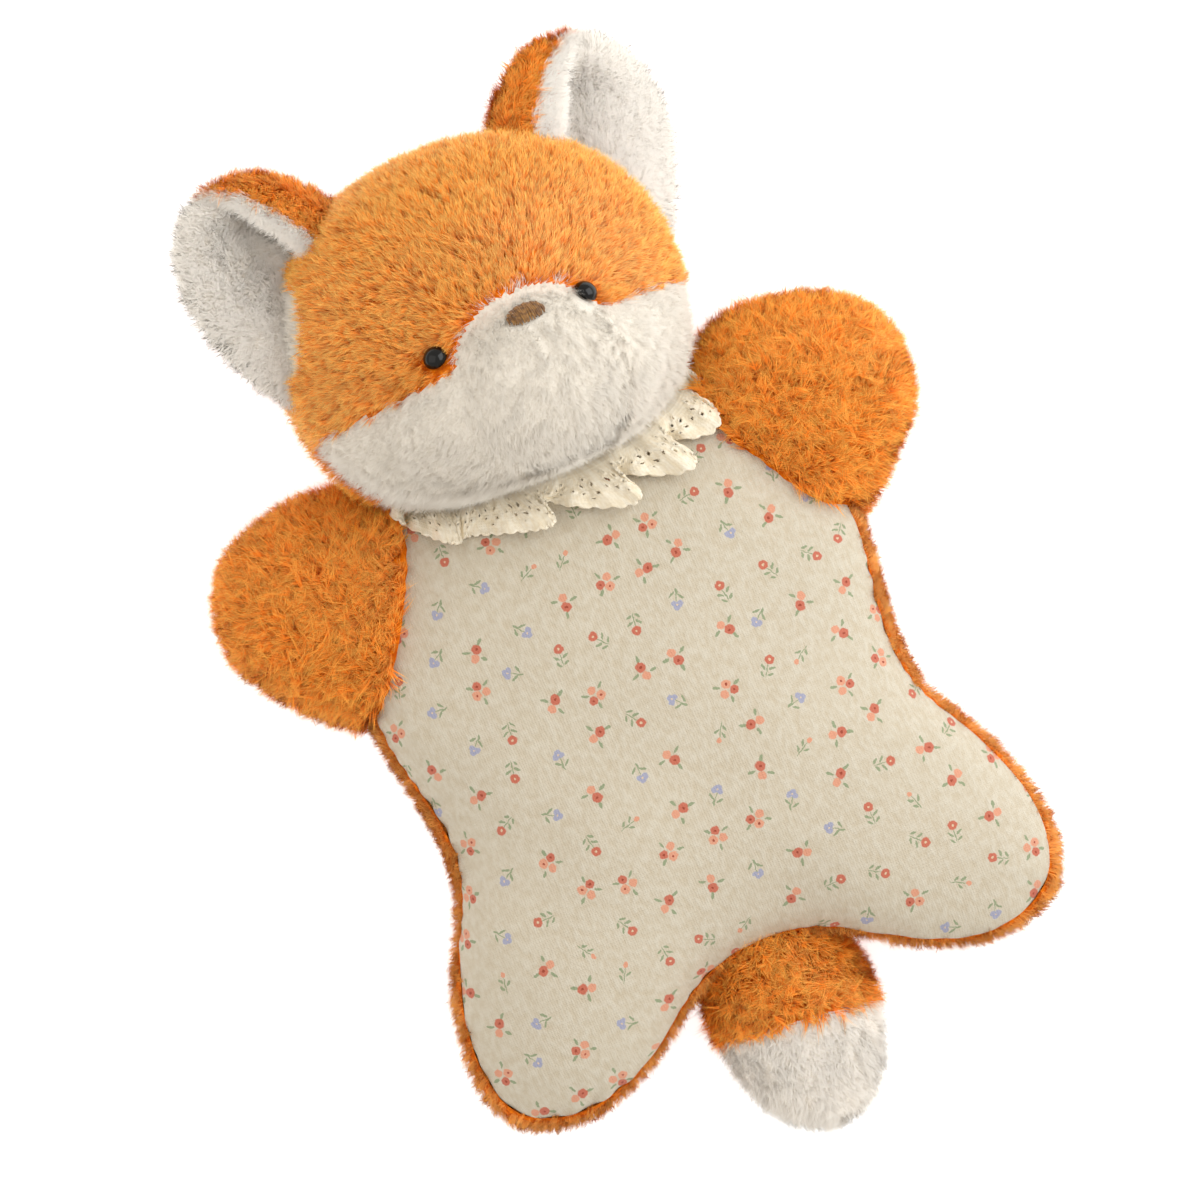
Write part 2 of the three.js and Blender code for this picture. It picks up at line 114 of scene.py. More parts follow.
def ripple(points: Points, wavelength: float, seed: int, waves: int = 5) -> np.ndarray:
    """Smooth random field about zero.

    Args:
        points: places, in millimetres.
        wavelength: rough distance between crests, in millimetres.
        seed: seed of the waves' directions and phases.
        waves: number of waves that are summed.

    Returns:
        One value for each point, mostly from -1 to 1.
    """
    rng = np.random.default_rng(seed)
    directions = unit(rng.normal(size=(waves, 3)))
    phases = rng.uniform(0, 2 * math.pi, waves)
    scales = rng.uniform(0.7, 1.4, waves) * 2 * math.pi / wavelength
    return np.sin(points @ (directions * scales[:, None]).T + phases).sum(1) / math.sqrt(waves)


def deselect() -> None:
    """Leaves nothing selected and object mode on."""
    if bpy.context.object and bpy.context.object.mode != "OBJECT":
        bpy.ops.object.mode_set(mode="OBJECT")
    bpy.ops.object.select_all(action="DESELECT")


def activate(piece: Object) -> None:
    """Makes a piece the only one selected, and active."""
    deselect()
    piece.select_set(True)
    bpy.context.view_layer.objects.active = piece


def primitive(kind: str, name: str, **settings: object) -> Object:
    """Adds one of Blender's primitives.

    Args:
        kind: the primitive's kind.
        name: the new piece's name.
        settings: its settings by name.

    Returns:
        The piece.
    """
    deselect()
    getattr(bpy.ops.mesh, f"primitive_{kind}_add")(**settings)
    piece = bpy.context.object
    piece.name = piece.data.name = name
    return piece


def edit(piece: Object, operation: Callable[..., set[str]], **settings: object) -> None:
    """Runs an edit-mode operation on the whole of a piece."""
    activate(piece)
    bpy.ops.object.mode_set(mode="EDIT")
    bpy.ops.mesh.select_all(action="SELECT")
    operation(**settings)
    bpy.ops.object.mode_set(mode="OBJECT")


def apply_modifier(piece: Object, kind: str, **settings: object) -> None:
    """Adds a modifier to a piece and applies it.

    Args:
        piece: the piece.
        kind: the modifier's type.
        settings: its settings by name.
    """
    activate(piece)
    modifier = piece.modifiers.new(kind.title(), kind)
    for key, value in settings.items():
        setattr(modifier, key, value)
    bpy.ops.object.modifier_apply(modifier=modifier.name)


def coordinates(piece: Object) -> Points:
    """Vertices of a piece as an array."""
    flat = np.empty(len(piece.data.vertices) * 3)
    piece.data.vertices.foreach_get("co", flat)
    return flat.reshape(-1, 3)


def move_vertices(piece: Object, points: Points) -> None:
    """Puts the vertices of a piece at new places."""
    piece.data.vertices.foreach_set("co", points.ravel())
    piece.data.update()


def vertex_normals(piece: Object) -> Points:
    """Normals at the vertices of a piece."""
    flat = np.empty(len(piece.data.vertices) * 3)
    piece.data.vertex_normals.foreach_get("vector", flat)
    return flat.reshape(-1, 3)


def lay_map(piece: Object, name: str, flat: Points) -> None:
    """Gives a piece a map, from a place on it for each vertex."""
    corners = np.empty(len(piece.data.loops), np.int32)
    piece.data.loops.foreach_get("vertex_index", corners)
    piece.data.uv_layers.new(name=name).data.foreach_set("uv", flat[corners].ravel())


def shade_smooth(piece: Object) -> None:
    """Shades a piece smooth."""
    piece.data.polygons.foreach_set("use_smooth", np.ones(len(piece.data.polygons), bool))


def settle(piece: Object, place: Matrix) -> None:
    """Takes a piece's mesh from its own frame, in millimetres, to the row frame, in metres."""
    piece.data.transform(Matrix.Scale(MM, 4) @ place)
    piece.data.update()


def hang(name: str, data: bpy.types.ID) -> Object:
    """Puts a new object with the data into the scene."""
    made = bpy.data.objects.new(name, data)
    bpy.context.scene.collection.objects.link(made)
    return made


def loose_mesh(name: str, points: Points, triangles: np.ndarray) -> Object:
    """Makes an object of triangles.

    Args:
        name: the object's name.
        points: vertices.
        triangles: three vertex numbers for each triangle.

    Returns:
        The object, linked to the scene.
    """
    mesh = bpy.data.meshes.new(name)
    mesh.vertices.add(len(points))
    mesh.vertices.foreach_set("co", points.ravel())
    mesh.loops.add(triangles.size)
    mesh.loops.foreach_set("vertex_index", triangles.ravel())
    mesh.polygons.add(len(triangles))
    mesh.polygons.foreach_set("loop_start", np.arange(0, triangles.size, 3))
    mesh.update(calc_edges=True)
    return hang(name, mesh)


class Graph:
    """A node tree under construction."""

    def __init__(self, tree: Tree) -> None:
        """Takes over a tree."""
        self.tree = tree

    def add(self, kind: str, inputs: dict[object, object] | None = None, **settings: object) -> bpy.types.Node:
        """Adds a node.

        Args:
            kind: its type without the ShaderNode prefix.
            inputs: values or sockets for its inputs.
            settings: its other properties.

        Returns:
            The node.
        """
        node = self.tree.nodes.new(f"ShaderNode{kind}")
        for key, value in settings.items():
            setattr(node, key, value)
        for key, value in (inputs or {}).items():
            self.feed(node.inputs[key], value)
        return node

    def feed(self, socket: Socket, value: object) -> None:
        """Links or sets one input."""
        if isinstance(value, Socket):
            self.tree.links.new(value, socket)
        else:
            socket.default_value = value

    def math(self, operation: str, *values: object) -> Socket:
        """Result of a Math node."""
        return self.add("Math", dict(enumerate(values)), operation=operation).outputs[0]

    def vector(self, operation: str, *values: object, output: int = 0) -> Socket:
        """Result of a Vector Math node."""
        return self.add("VectorMath", dict(enumerate(values)), operation=operation).outputs[output]

    def scale(self, vector: object, factor: object) -> Socket:
        """A vector or colour times a factor."""
        return self.add("VectorMath", {"Vector": vector, "Scale": factor}, operation="SCALE").outputs[0]

    def ramp(self, value: object, low: float, high: float, start: float = 0.0, end: float = 1.0) -> Socket:
        """Eased map of a value from low..high to start..end."""
        ends = {"Value": value, "From Min": low, "From Max": high, "To Min": start, "To Max": end}
        return self.add("MapRange", ends, interpolation_type="SMOOTHSTEP").outputs["Result"]

    def mix(self, share: object, first: object, second: object) -> Socket:
        """Mix of two colours."""
        return self.add("Mix", {0: share, 6: first, 7: second}, data_type="RGBA").outputs[2]

    def noise(self, vector: object, scale: float, detail: float = 2.0) -> Socket:
        """Value of a Noise Texture node."""
        return self.add("TexNoise", {"Vector": vector, "Scale": scale, "Detail": detail}).outputs[0]

    def wave(self, vector: object, scale: object, way: str, distortion: float = 3.0, detail: float = 1.0) -> Socket:
        """Value of a Wave Texture node."""
        inputs = {"Vector": vector, "Scale": scale, "Distortion": distortion, "Detail": detail}
        return self.add("TexWave", inputs, bands_direction=way).outputs["Fac"]

    def object_place(self) -> Socket:
        """Place on the piece, in metres."""
        return self.add("TexCoord").outputs["Object"]

    def group(self, maker: Callable[[], Tree], **inputs: object) -> Sockets:
        """Puts a shared node group in, and returns its outputs."""
        return self.add("Group", inputs, node_tree=maker()).outputs

    def finish(self, shader: bpy.types.Node, colour: Socket, height: Socket, strength: float, distance: float) -> None:
        """Gives a shader its colour, and raises it by a height.

        Args:
            shader: the shader.
            colour: its base colour.
            height: height of the bump.
            strength: strength of the bump.
            distance: how high it rises, in metres.
        """
        self.feed(shader.inputs["Base Color"], colour)
        bump = self.add("Bump", {"Strength": strength, "Distance": distance, "Height": height})
        self.feed(shader.inputs["Normal"], bump.outputs[0])


def node_group(name: str, inputs: dict[str, str], outputs: dict[str, str]) -> tuple[Graph, Sockets, Sockets]:
    """Starts a shader node group.

    Args:
        name: the group's name.
        inputs: socket types by the inputs' names.
        outputs: socket types by the outputs' names.

    Returns:
        Its graph, what it is given and what it gives, both by name.
    """
    tree = bpy.data.node_groups.new(name, "ShaderNodeTree")
    for sockets, direction in ((inputs, "INPUT"), (outputs, "OUTPUT")):
        for label, kind in sockets.items():
            tree.interface.new_socket(label, in_out=direction, socket_type=f"NodeSocket{kind}")
    given, result = tree.nodes.new("NodeGroupInput").outputs, tree.nodes.new("NodeGroupOutput").inputs
    return Graph(tree), given, result


@cache
def pile_group() -> Tree:
    """Colour of a pile fibre from its root to its tip, with a tone of its own; the darker root is painted shade deep
    in the pile.
    """
    colours = {"Root": "Color", "Middle": "Color", "Tip": "Color"}
    graph, given, result = node_group(
        "pile_tone", {"Along": "Float", "Tone": "Float", **colours, "Spread": "Float"}, {"Color": "Color"}
    )
    # The root colour is painted shade where the fibres crowd at the skin.
    low = graph.mix(graph.ramp(given["Along"], 0.0, 0.55), given["Root"], given["Middle"])
    high = graph.mix(graph.ramp(given["Along"], 0.5, 1.0), low, given["Tip"])
    swing = graph.math("SUBTRACT", given["Tone"], 0.5)
    graph.feed(result["Color"], graph.scale(high, graph.math("MULTIPLY_ADD", swing, given["Spread"], 1.0)))
    return graph.tree


@cache
def gauze_group() -> Tree:
    """Crinkle and weave of double gauze, on coordinates in metres; its Shade is painted shade, darkest in the crinkle
    hollows.
    """
    amounts = {"Crinkle": "Float", "Weave": "Float"}
    graph, given, result = node_group(
        "gauze_crinkle", {"Vector": "Vector", **amounts}, {"Height": "Float", "Shade": "Float"}
    )
    vector = given["Vector"]
    stretched = graph.add("Mapping", {"Vector": vector, "Scale": (1.0, 0.45, 1.0)}).outputs[0]
    folds, puffs = graph.noise(stretched, 620.0, 3.0), graph.noise(vector, 210.0, 2.0)
    weave = graph.math("MULTIPLY", graph.wave(vector, 300.0, "X"), graph.wave(vector, 260.0, "Y"))
    crinkle = graph.math("MULTIPLY_ADD", puffs, 0.7, folds)
    height = graph.math("MULTIPLY", crinkle, given["Crinkle"])
    graph.feed(result["Height"], graph.math("MULTIPLY_ADD", weave, given["Weave"], height))
    graph.feed(result["Shade"], graph.ramp(crinkle, 0.55, 1.15))
    return graph.tree


class Ink(Enum):
    """Inks of the flower print."""

    RED = paint(190, 98, 76)
    PEACH = paint(214, 148, 120)
    BLUE = paint(156, 158, 182)
    GREEN = paint(138, 150, 118)
    DARK = paint(148, 68, 50)
    CREAM = paint(214, 190, 160)


@dataclass(frozen=True)
class Mark:
    """One printed oval of a motif, in millimetres and degrees."""

    x: float
    y: float
    length: float
    width: float
    turn: float
    ink: Ink


@dataclass(frozen=True)
class Motif:
    """A small printed spray, and its share of all the sprays."""

    share: float
    marks: tuple[Mark, ...]


MOTIFS = (
    Motif(0.28, (
        Mark(-3.8, 2.5, 1.7, 0.65, 140, Ink.GREEN),
        Mark(-1.0, -3.8, 1.7, 0.6, 75, Ink.GREEN),
        Mark(3.4, 2.6, 1.5, 0.6, 50, Ink.GREEN),
        Mark(2.3, -1.0, 1.8, 1.7, 0, Ink.PEACH),
        Mark(-1.3, 0.5, 2.2, 2.0, 20, Ink.RED),
        Mark(-1.3, 0.6, 0.55, 0.55, 0, Ink.DARK),
    )),
    Motif(0.22, (
        Mark(0.4, -1.6, 3.0, 0.25, 97, Ink.GREEN),
        Mark(-1.4, -1.0, 1.5, 0.5, 148, Ink.GREEN),
        Mark(2.2, -0.2, 1.5, 0.5, 35, Ink.GREEN),
        Mark(-1.0, -3.6, 1.3, 0.5, 140, Ink.GREEN),
        Mark(2.2, -3.0, 1.3, 0.5, 38, Ink.GREEN),
        Mark(0, 2.7, 2.0, 1.9, 0, Ink.RED),
        Mark(0, 2.7, 0.5, 0.5, 0, Ink.CREAM),
    )),
    Motif(0.24, (
        Mark(0.0, -1.4, 2.2, 0.22, 85, Ink.GREEN),
        Mark(-1.7, -1.4, 1.7, 0.5, 140, Ink.GREEN),
        Mark(1.8, -2.4, 1.6, 0.5, 40, Ink.GREEN),
        Mark(-0.4, -3.6, 1.3, 0.45, 100, Ink.GREEN),
        Mark(-1.0, 1.6, 1.5, 1.3, 40, Ink.BLUE),
        Mark(1.1, 1.3, 1.4, 1.2, -30, Ink.BLUE),
        Mark(0.3, 2.8, 1.3, 1.1, 0, Ink.BLUE),
        Mark(0.1, 1.8, 0.4, 0.4, 0, Ink.CREAM),
    )),
    Motif(0.16, (
        Mark(-4.2, 2.0, 1.5, 0.6, 150, Ink.GREEN),
        Mark(4.2, 1.2, 1.5, 0.6, 20, Ink.GREEN),
        Mark(0, -4.4, 1.6, 0.55, 85, Ink.GREEN),
        Mark(-2.1, -1.5, 1.8, 1.7, 0, Ink.PEACH),
        Mark(2.2, -1.2, 1.9, 1.8, 0, Ink.RED),
        Mark(0, 2.0, 2.0, 1.9, 0, Ink.PEACH),
        Mark(0, 2.0, 0.5, 0.5, 0, Ink.DARK),
        Mark(2.2, -1.2, 0.5, 0.5, 0, Ink.DARK),
    )),
    Motif(0.10, (
        Mark(0, -0.4, 3.8, 0.22, 90, Ink.GREEN),
        Mark(-1.5, 1.4, 1.4, 0.5, 130, Ink.GREEN),
        Mark(1.5, 0.2, 1.4, 0.5, 50, Ink.GREEN),
        Mark(-1.4, -1.6, 1.3, 0.5, 135, Ink.GREEN),
        Mark(0, 3.8, 1.2, 1.0, 90, Ink.PEACH),
    )),
)


@cache
def print_group() -> Tree:
    """Scattered sprays of flowers: rows of cells, half of them shifted, each with its own motif and turn."""
    graph, given, result = node_group(
        "flower_print", {"Vector": "Vector", "Pitch": "Float", "Cloth": "Color"}, {"Color": "Color"}
    )
    pitch = given["Pitch"]
    wobble = graph.add("TexNoise", {"Vector": given["Vector"], "Scale": 700.0, "Detail": 1.0}).outputs["Color"]
    shake = graph.scale(graph.vector("SUBTRACT", wobble, (0.5, 0.5, 0.5)), 0.0011)
    flat = graph.vector("ADD", given["Vector"], shake)
    cells = graph.scale(flat, graph.math("DIVIDE", 1.0, pitch))
    parts = graph.add("SeparateXYZ", {0: cells}).outputs
    row = graph.math("FLOOR", parts[1])
    odd = graph.math("MULTIPLY", graph.math("PINGPONG", row, 1.0), 0.5)
    shifted = graph.add("CombineXYZ", {0: graph.math("ADD", parts[0], odd), 1: parts[1]}).outputs[0]
    cell = graph.vector("FLOOR", shifted)
    inside = graph.vector("SUBTRACT", graph.vector("SUBTRACT", shifted, cell), (0.5, 0.5, 0.0))
    chance = graph.add("TexWhiteNoise", {"Vector": cell}, noise_dimensions="2D").outputs
    other = graph.add("TexWhiteNoise", {"Vector": graph.vector("ADD", cell, (31.7, 12.4, 0.0))}, noise_dimensions="2D")
    uneven = graph.vector("SUBTRACT", other.outputs["Color"], (0.5, 0.5, 0.0))
    jitter = graph.vector("MULTIPLY", uneven, (0.3, 0.3, 0.0))
    spot = graph.scale(graph.vector("ADD", inside, jitter), graph.math("MULTIPLY", pitch, 1 / MM))
    turn = graph.math("MULTIPLY", chance["Value"], 2 * math.pi)
    local = graph.add("VectorRotate", {"Vector": spot, "Angle": turn}, rotation_type="Z_AXIS").outputs[0]
    local = graph.vector("MULTIPLY", local, (1.0, 1.0, 0.0))
    kind = graph.add("SeparateColor", {0: chance["Color"]}).outputs[1]
    colour = given["Cloth"]
    start = 0.0
    for motif in MOTIFS:
        after = graph.math("GREATER_THAN", kind, start)
        start += motif.share
        present = graph.math("MULTIPLY", after, graph.math("LESS_THAN", kind, start))
        present = graph.math("MULTIPLY", present, 0.92)
        for mark in motif.marks:
            placed = graph.add("Mapping", {
                "Vector": local,
                "Location": (mark.x, mark.y, 0.0),
                "Rotation": (0.0, 0.0, math.radians(mark.turn)),
                "Scale": (mark.length, mark.width, 1.0),
            }, vector_type="TEXTURE").outputs[0]
            ink = graph.ramp(graph.vector("LENGTH", placed, output=1), 1.12, 0.86)
            colour = graph.mix(graph.math("MULTIPLY", ink, present), colour, mark.ink.value)
    graph.feed(result["Color"], colour)
    return graph.tree


@cache
def twist_group() -> Tree:
    """Fine slanting lines of twisted thread, on coordinates in metres; its Shade is painted shade in the grooves and
    painted highlight on the ridges.
    """
    inputs, outputs = {"Vector": "Vector", "Scale": "Float"}, {"Height": "Float", "Shade": "Float"}
    graph, given, result = node_group("thread_twist", inputs, outputs)
    wave = graph.wave(given["Vector"], given["Scale"], "DIAGONAL", 1.5, 2.0)
    graph.feed(result["Height"], wave)
    graph.feed(result["Shade"], graph.ramp(wave, 0.1, 0.9, 0.72, 1.1))
    return graph.tree


def new_material(name: str, **sockets: object) -> tuple[Material, Graph, bpy.types.Node]:
    """Starts a material with values on its shader's own sockets.

    Args:
        name: the material's name.
        sockets: values by socket name, with underscores for spaces.

    Returns:
        The material, its graph and its shader.
    """
    material = bpy.data.materials.new(name)
    material.use_nodes = True
    shader = material.node_tree.nodes["Principled BSDF"]
    for key, value in sockets.items():
        shader.inputs[key.replace("_", " ")].default_value = value
    return material, Graph(material.node_tree), shader


@dataclass(frozen=True)
class PileFinish:
    """Plush pile, and the knitted backing under it; the darker root colour, which the backing shares, is painted shade
    deep in the pile.
    """

    name: str
    # Darkest colour, at the fibre roots: painted shade deep in the pile.
    root: Colour
    middle: Colour
    tip: Colour
    spread: float
    sheen: float
    gleam: float

    @cache
    def fibres(self) -> Material:
        """Material of the fibres, toned along their own map."""
        material, graph, shader = new_material(
            f"{self.name}_pile", Roughness=0.5, Sheen_Weight=self.sheen, Sheen_Roughness=0.45,
            Sheen_Tint=self.tip, Specular_IOR_Level=self.gleam,
        )
        parts = graph.add("SeparateXYZ", {0: graph.add("UVMap", uv_map=FIBRE_MAP).outputs[0]}).outputs
        colours = {"Root": self.root, "Middle": self.middle, "Tip": self.tip}
        toned = graph.group(pile_group, Along=parts[1], Tone=parts[0], **colours, Spread=self.spread)
        graph.feed(shader.inputs["Base Color"], toned["Color"])
        return material

    @cache
    def backing(self) -> Material:
        """Material of the cloth that the fibres grow from, in the root and middle colours, so it carries the root's
        painted shade.
        """
        material, graph, shader = new_material(f"{self.name}_backing", Roughness=0.95, Specular_IOR_Level=0.1)
        patches = graph.ramp(graph.noise(graph.object_place(), 400.0, 3.0), 0.3, 0.7)
        graph.finish(shader, graph.mix(patches, self.root, self.middle), patches, 0.5, 0.001)
        return material


ORANGE = PileFinish("orange", paint(190, 83, 8), paint(243, 129, 18), paint(255, 193, 84), 0.85, 0.06, 0.3)
# The head's copy of the orange plush: its paler tips are partly the pile's own tipped colour and partly a painted
# highlight for the lit side of the head.
HOOD = PileFinish("hood", paint(204, 98, 12), paint(240, 134, 19), paint(255, 210, 104), 0.75, 0.08, 0.5)
# A lighter copy of the orange plush for the sideways border: painted light against the shade that the border lies in.
LIT_EDGE = PileFinish("edge", paint(240, 146, 62), paint(250, 162, 68), paint(255, 204, 120), 0.35, 0.08, 0.25)
# Two copies of the same white plush: WHITE for the face, and FLUFF, brighter, which is painted light that lifts the
# shaded ear hollows and the tail tip.
WHITE = PileFinish("white", paint(226, 218, 205), paint(232, 225, 213), paint(236, 231, 222), 0.04, 0.08, 0.25)
FLUFF = PileFinish("fluff", paint(249, 241, 229), paint(253, 247, 238), paint(255, 252, 246), 0.04, 0.15, 0.3)


def cotton_material() -> Material:
    """Cream double gauze with scattered sprays, on the piece's own cut map."""
    material, graph, shader = new_material(
        "printed_cotton", Roughness=0.88, Sheen_Weight=0.15, Sheen_Roughness=0.5, Specular_IOR_Level=0.2
    )
    cut = graph.add("UVMap", uv_map=CUT_MAP).outputs[0]
    gauze = graph.group(gauze_group, Vector=cut, Crinkle=1.0, Weave=0.3)
    # Painted shade: the cloth is darker in the crinkle hollows.
    cloth = graph.mix(gauze["Shade"], paint(194, 182, 160), paint(205, 197, 180))
    sprays = graph.group(print_group, Vector=cut, Pitch=0.0182, Cloth=cloth)
    graph.finish(shader, sprays["Color"], gauze["Height"], 0.65, 0.0006)
    return material


def lace_material() -> Material:
    """Cream cotton lace, whose raised stitches follow its own cut map."""
    material, graph, shader = new_material(
        "cotton_lace", Roughness=0.85, Sheen_Weight=0.15, Sheen_Roughness=0.5, Specular_IOR_Level=0.2
    )
    cut = graph.add("UVMap", uv_map=CUT_MAP).outputs[0]
    gauze = graph.group(gauze_group, Vector=cut, Crinkle=0.4, Weave=0.8)
    # Painted shade: the lace is darker in the crinkle hollows.
    cream = graph.mix(gauze["Shade"], paint(240, 226, 198), paint(252, 244, 226))
    graph.finish(shader, cream, gauze["Height"], 0.4, 0.0004)
    return material


def thread_material() -> Material:
    """Brown satin-stitch thread."""
    material, graph, shader = new_material("brown_thread", Roughness=0.42, Sheen_Weight=0.2, Specular_IOR_Level=0.5)
    place = graph.object_place()
    twist = graph.group(twist_group, Vector=place, Scale=1300.0)
    tone = graph.ramp(graph.noise(place, 500.0), 0.35, 0.65)
    # Painted shade in the twist grooves and painted highlight on the ridges.
    brown = graph.scale(graph.mix(tone, paint(108, 68, 24), paint(158, 112, 52)), twist["Shade"])
    graph.finish(shader, brown, twist["Height"], 0.5, 0.0002)
    return material


@cache
def gloss_material() -> Material:
    """Polished black plastic, with the faint haze of handling."""
    material, graph, shader = new_material("eye_gloss", Base_Color=paint(8, 7, 7), Specular_IOR_Level=0.35)
    haze = graph.noise(graph.object_place(), 900.0, 4.0)
    graph.feed(shader.inputs["Roughness"], graph.ramp(haze, 0.35, 0.75, 0.1, 0.22))
    return material


def washer_material() -> Material:
    """Plain white plastic, mottled."""
    material, graph, shader = new_material("washer_plastic", Roughness=0.5)
    mottle = graph.ramp(graph.noise(graph.object_place(), 300.0, 3.0), 0.3, 0.7)
    white = paint(228, 226, 220)
    darker = (*(0.86 * channel for channel in white[:3]), 1.0)
    graph.feed(shader.inputs["Base Color"], graph.mix(mottle, darker, white))
    return material


@dataclass(frozen=True)
class Form:
    """Stuffed shape between a crown and a sole, about a pole on its seam plane, in millimetres."""

    outline: Points
    crown: float
    sole: float
    crown_fullness: float
    sole_fullness: float
    pole: tuple[float, float] = (0.0, 0.0)
    floor: float = -1e9
    place: Matrix = field(default_factory=Matrix)

    def reach(self, turn: np.ndarray) -> np.ndarray:
        """Distance from the pole to the outline at each turn, in radians."""
        line = self.outline - np.array(self.pole)
        angles = np.arctan2(line[:, 1], line[:, 0])
        order = np.argsort(angles)
        return np.interp(turn, angles[order], np.hypot(*line.T)[order], period=2 * math.pi)

    def rise(self, share: np.ndarray) -> np.ndarray:
        """Height of the crown at each share of the way out."""
        return self.crown * np.maximum(0, 1 - share**self.crown_fullness) ** (1 / self.crown_fullness)

    def drop(self, share: np.ndarray) -> np.ndarray:
        """Depth of the sole at each share of the way out."""
        return self.sole * np.maximum(0, 1 - share**self.sole_fullness) ** (1 / self.sole_fullness)

    def share(self, points: Points) -> np.ndarray:
        """How far out from the pole each point lies, 1 on the outline."""
        line = points[:, :2] - np.array(self.pole)
        return np.hypot(*line.T) / self.reach(np.arctan2(line[:, 1], line[:, 0]))

    def skin(self, name: str, segments: int, rings: int) -> Object:
        """Starts from a sphere and draws it out to the form, in the form's own frame.

        Args:
            name: the piece's name.
            segments: divisions round the seam.
            rings: divisions from the crown to the sole.

        Returns:
            The piece.
        """
        piece = primitive("uv_sphere", name, segments=segments, ring_count=rings, radius=1.0)
        ball = coordinates(piece)
        share = np.clip(np.hypot(ball[:, 0], ball[:, 1]), 0, 1)
        turn = np.arctan2(ball[:, 1], ball[:, 0])
        far = share * self.reach(turn)
        height = np.where(ball[:, 2] > 0, self.rise(share), np.maximum(self.floor, -self.drop(share)))
        shaped = np.stack([self.pole[0] + far * np.cos(turn), self.pole[1] + far * np.sin(turn), height], 1)
        move_vertices(piece, shaped)
        shade_smooth(piece)
        return piece


def oval(half_width: float, half_length: float, upper: float, lower: float | None = None) -> Points:
    """Superellipse, whose lower half may be fuller.

    Args:
        half_width: half of its width.
        half_length: half of its length.
        upper: fullness of its upper half.
        lower: fullness of its lower half, if that differs.

    Returns:
        Its points, anticlockwise.
    """
    turn = np.linspace(0, 2 * math.pi, 240, endpoint=False)
    power = 2 / np.where(turn < math.pi, upper, upper if lower is None else lower)
    cos, sin = np.cos(turn), np.sin(turn)
    return np.stack([
        half_width * np.sign(cos) * np.abs(cos) ** power, half_length * np.sign(sin) * np.abs(sin) ** power
    ], 1)


def smooth_line(points: Points, steps: int = 16) -> Points:
    """Closed smooth line through the points."""
    before, after, beyond = (np.roll(points, shift, 0) for shift in (1, -1, -2))
    rows = []
    for t in np.arange(steps) / steps:
        rows.append(0.5 * (
            2 * points + (after - before) * t
            + (2 * before - 5 * points + 4 * after - beyond) * t**2
            + (3 * points - before - 3 * after + beyond) * t**3
        ))
    return np.stack(rows, 1).reshape(-1, 2)


@dataclass(frozen=True)
class Pile:
    """How the pile of a plush grows, in millimetres and radians."""

    length: float
    tuft_radius: float
    tuft_fibres: int
    gather: float
    lean: float
    curl: float
    width: float
    wander: float
    joints: int = 2
    buried: float = 2.0
    softness: float = 0.62
    under: float = 0.35
    upward: float = 0.2


SLEEK = Pile(7.8, 1.1, 8, 0.6, 0.62, 0.16, 0.34, 0.26, softness=0.66)
CURLY = Pile(8.6, 1.45, 9, 0.65, 0.56, 0.5, 0.37, 0.7, softness=0.55, upward=0.3)
FLUFFY = Pile(7.8, 1.5, 11, 0.1, 0.5, 0.2, 0.23, 0.4, buried=3.0, softness=0.94, under=0.5, upward=1.0)
COMBED = Pile(7.4, 1.3, 9, 0.4, 0.7, 0.35, 0.38, 0.5, softness=0.7)
BORDER = Pile(6.3, 1.3, 10, 0.2, 0.55, 0.3, 0.3, 0.5, softness=0.85, under=0.5, upward=1.2)
PRESSED = Pile(8.5, 2.0, 9, 0.4, 0.84, 0.5, 0.80, 0.9, softness=0.7)
SHORT = Pile(8.0, 1.3, 11, 0.1, 0.62, 0.14, 0.22, 0.25, buried=3.6, softness=0.95, under=0.5, upward=0.5)


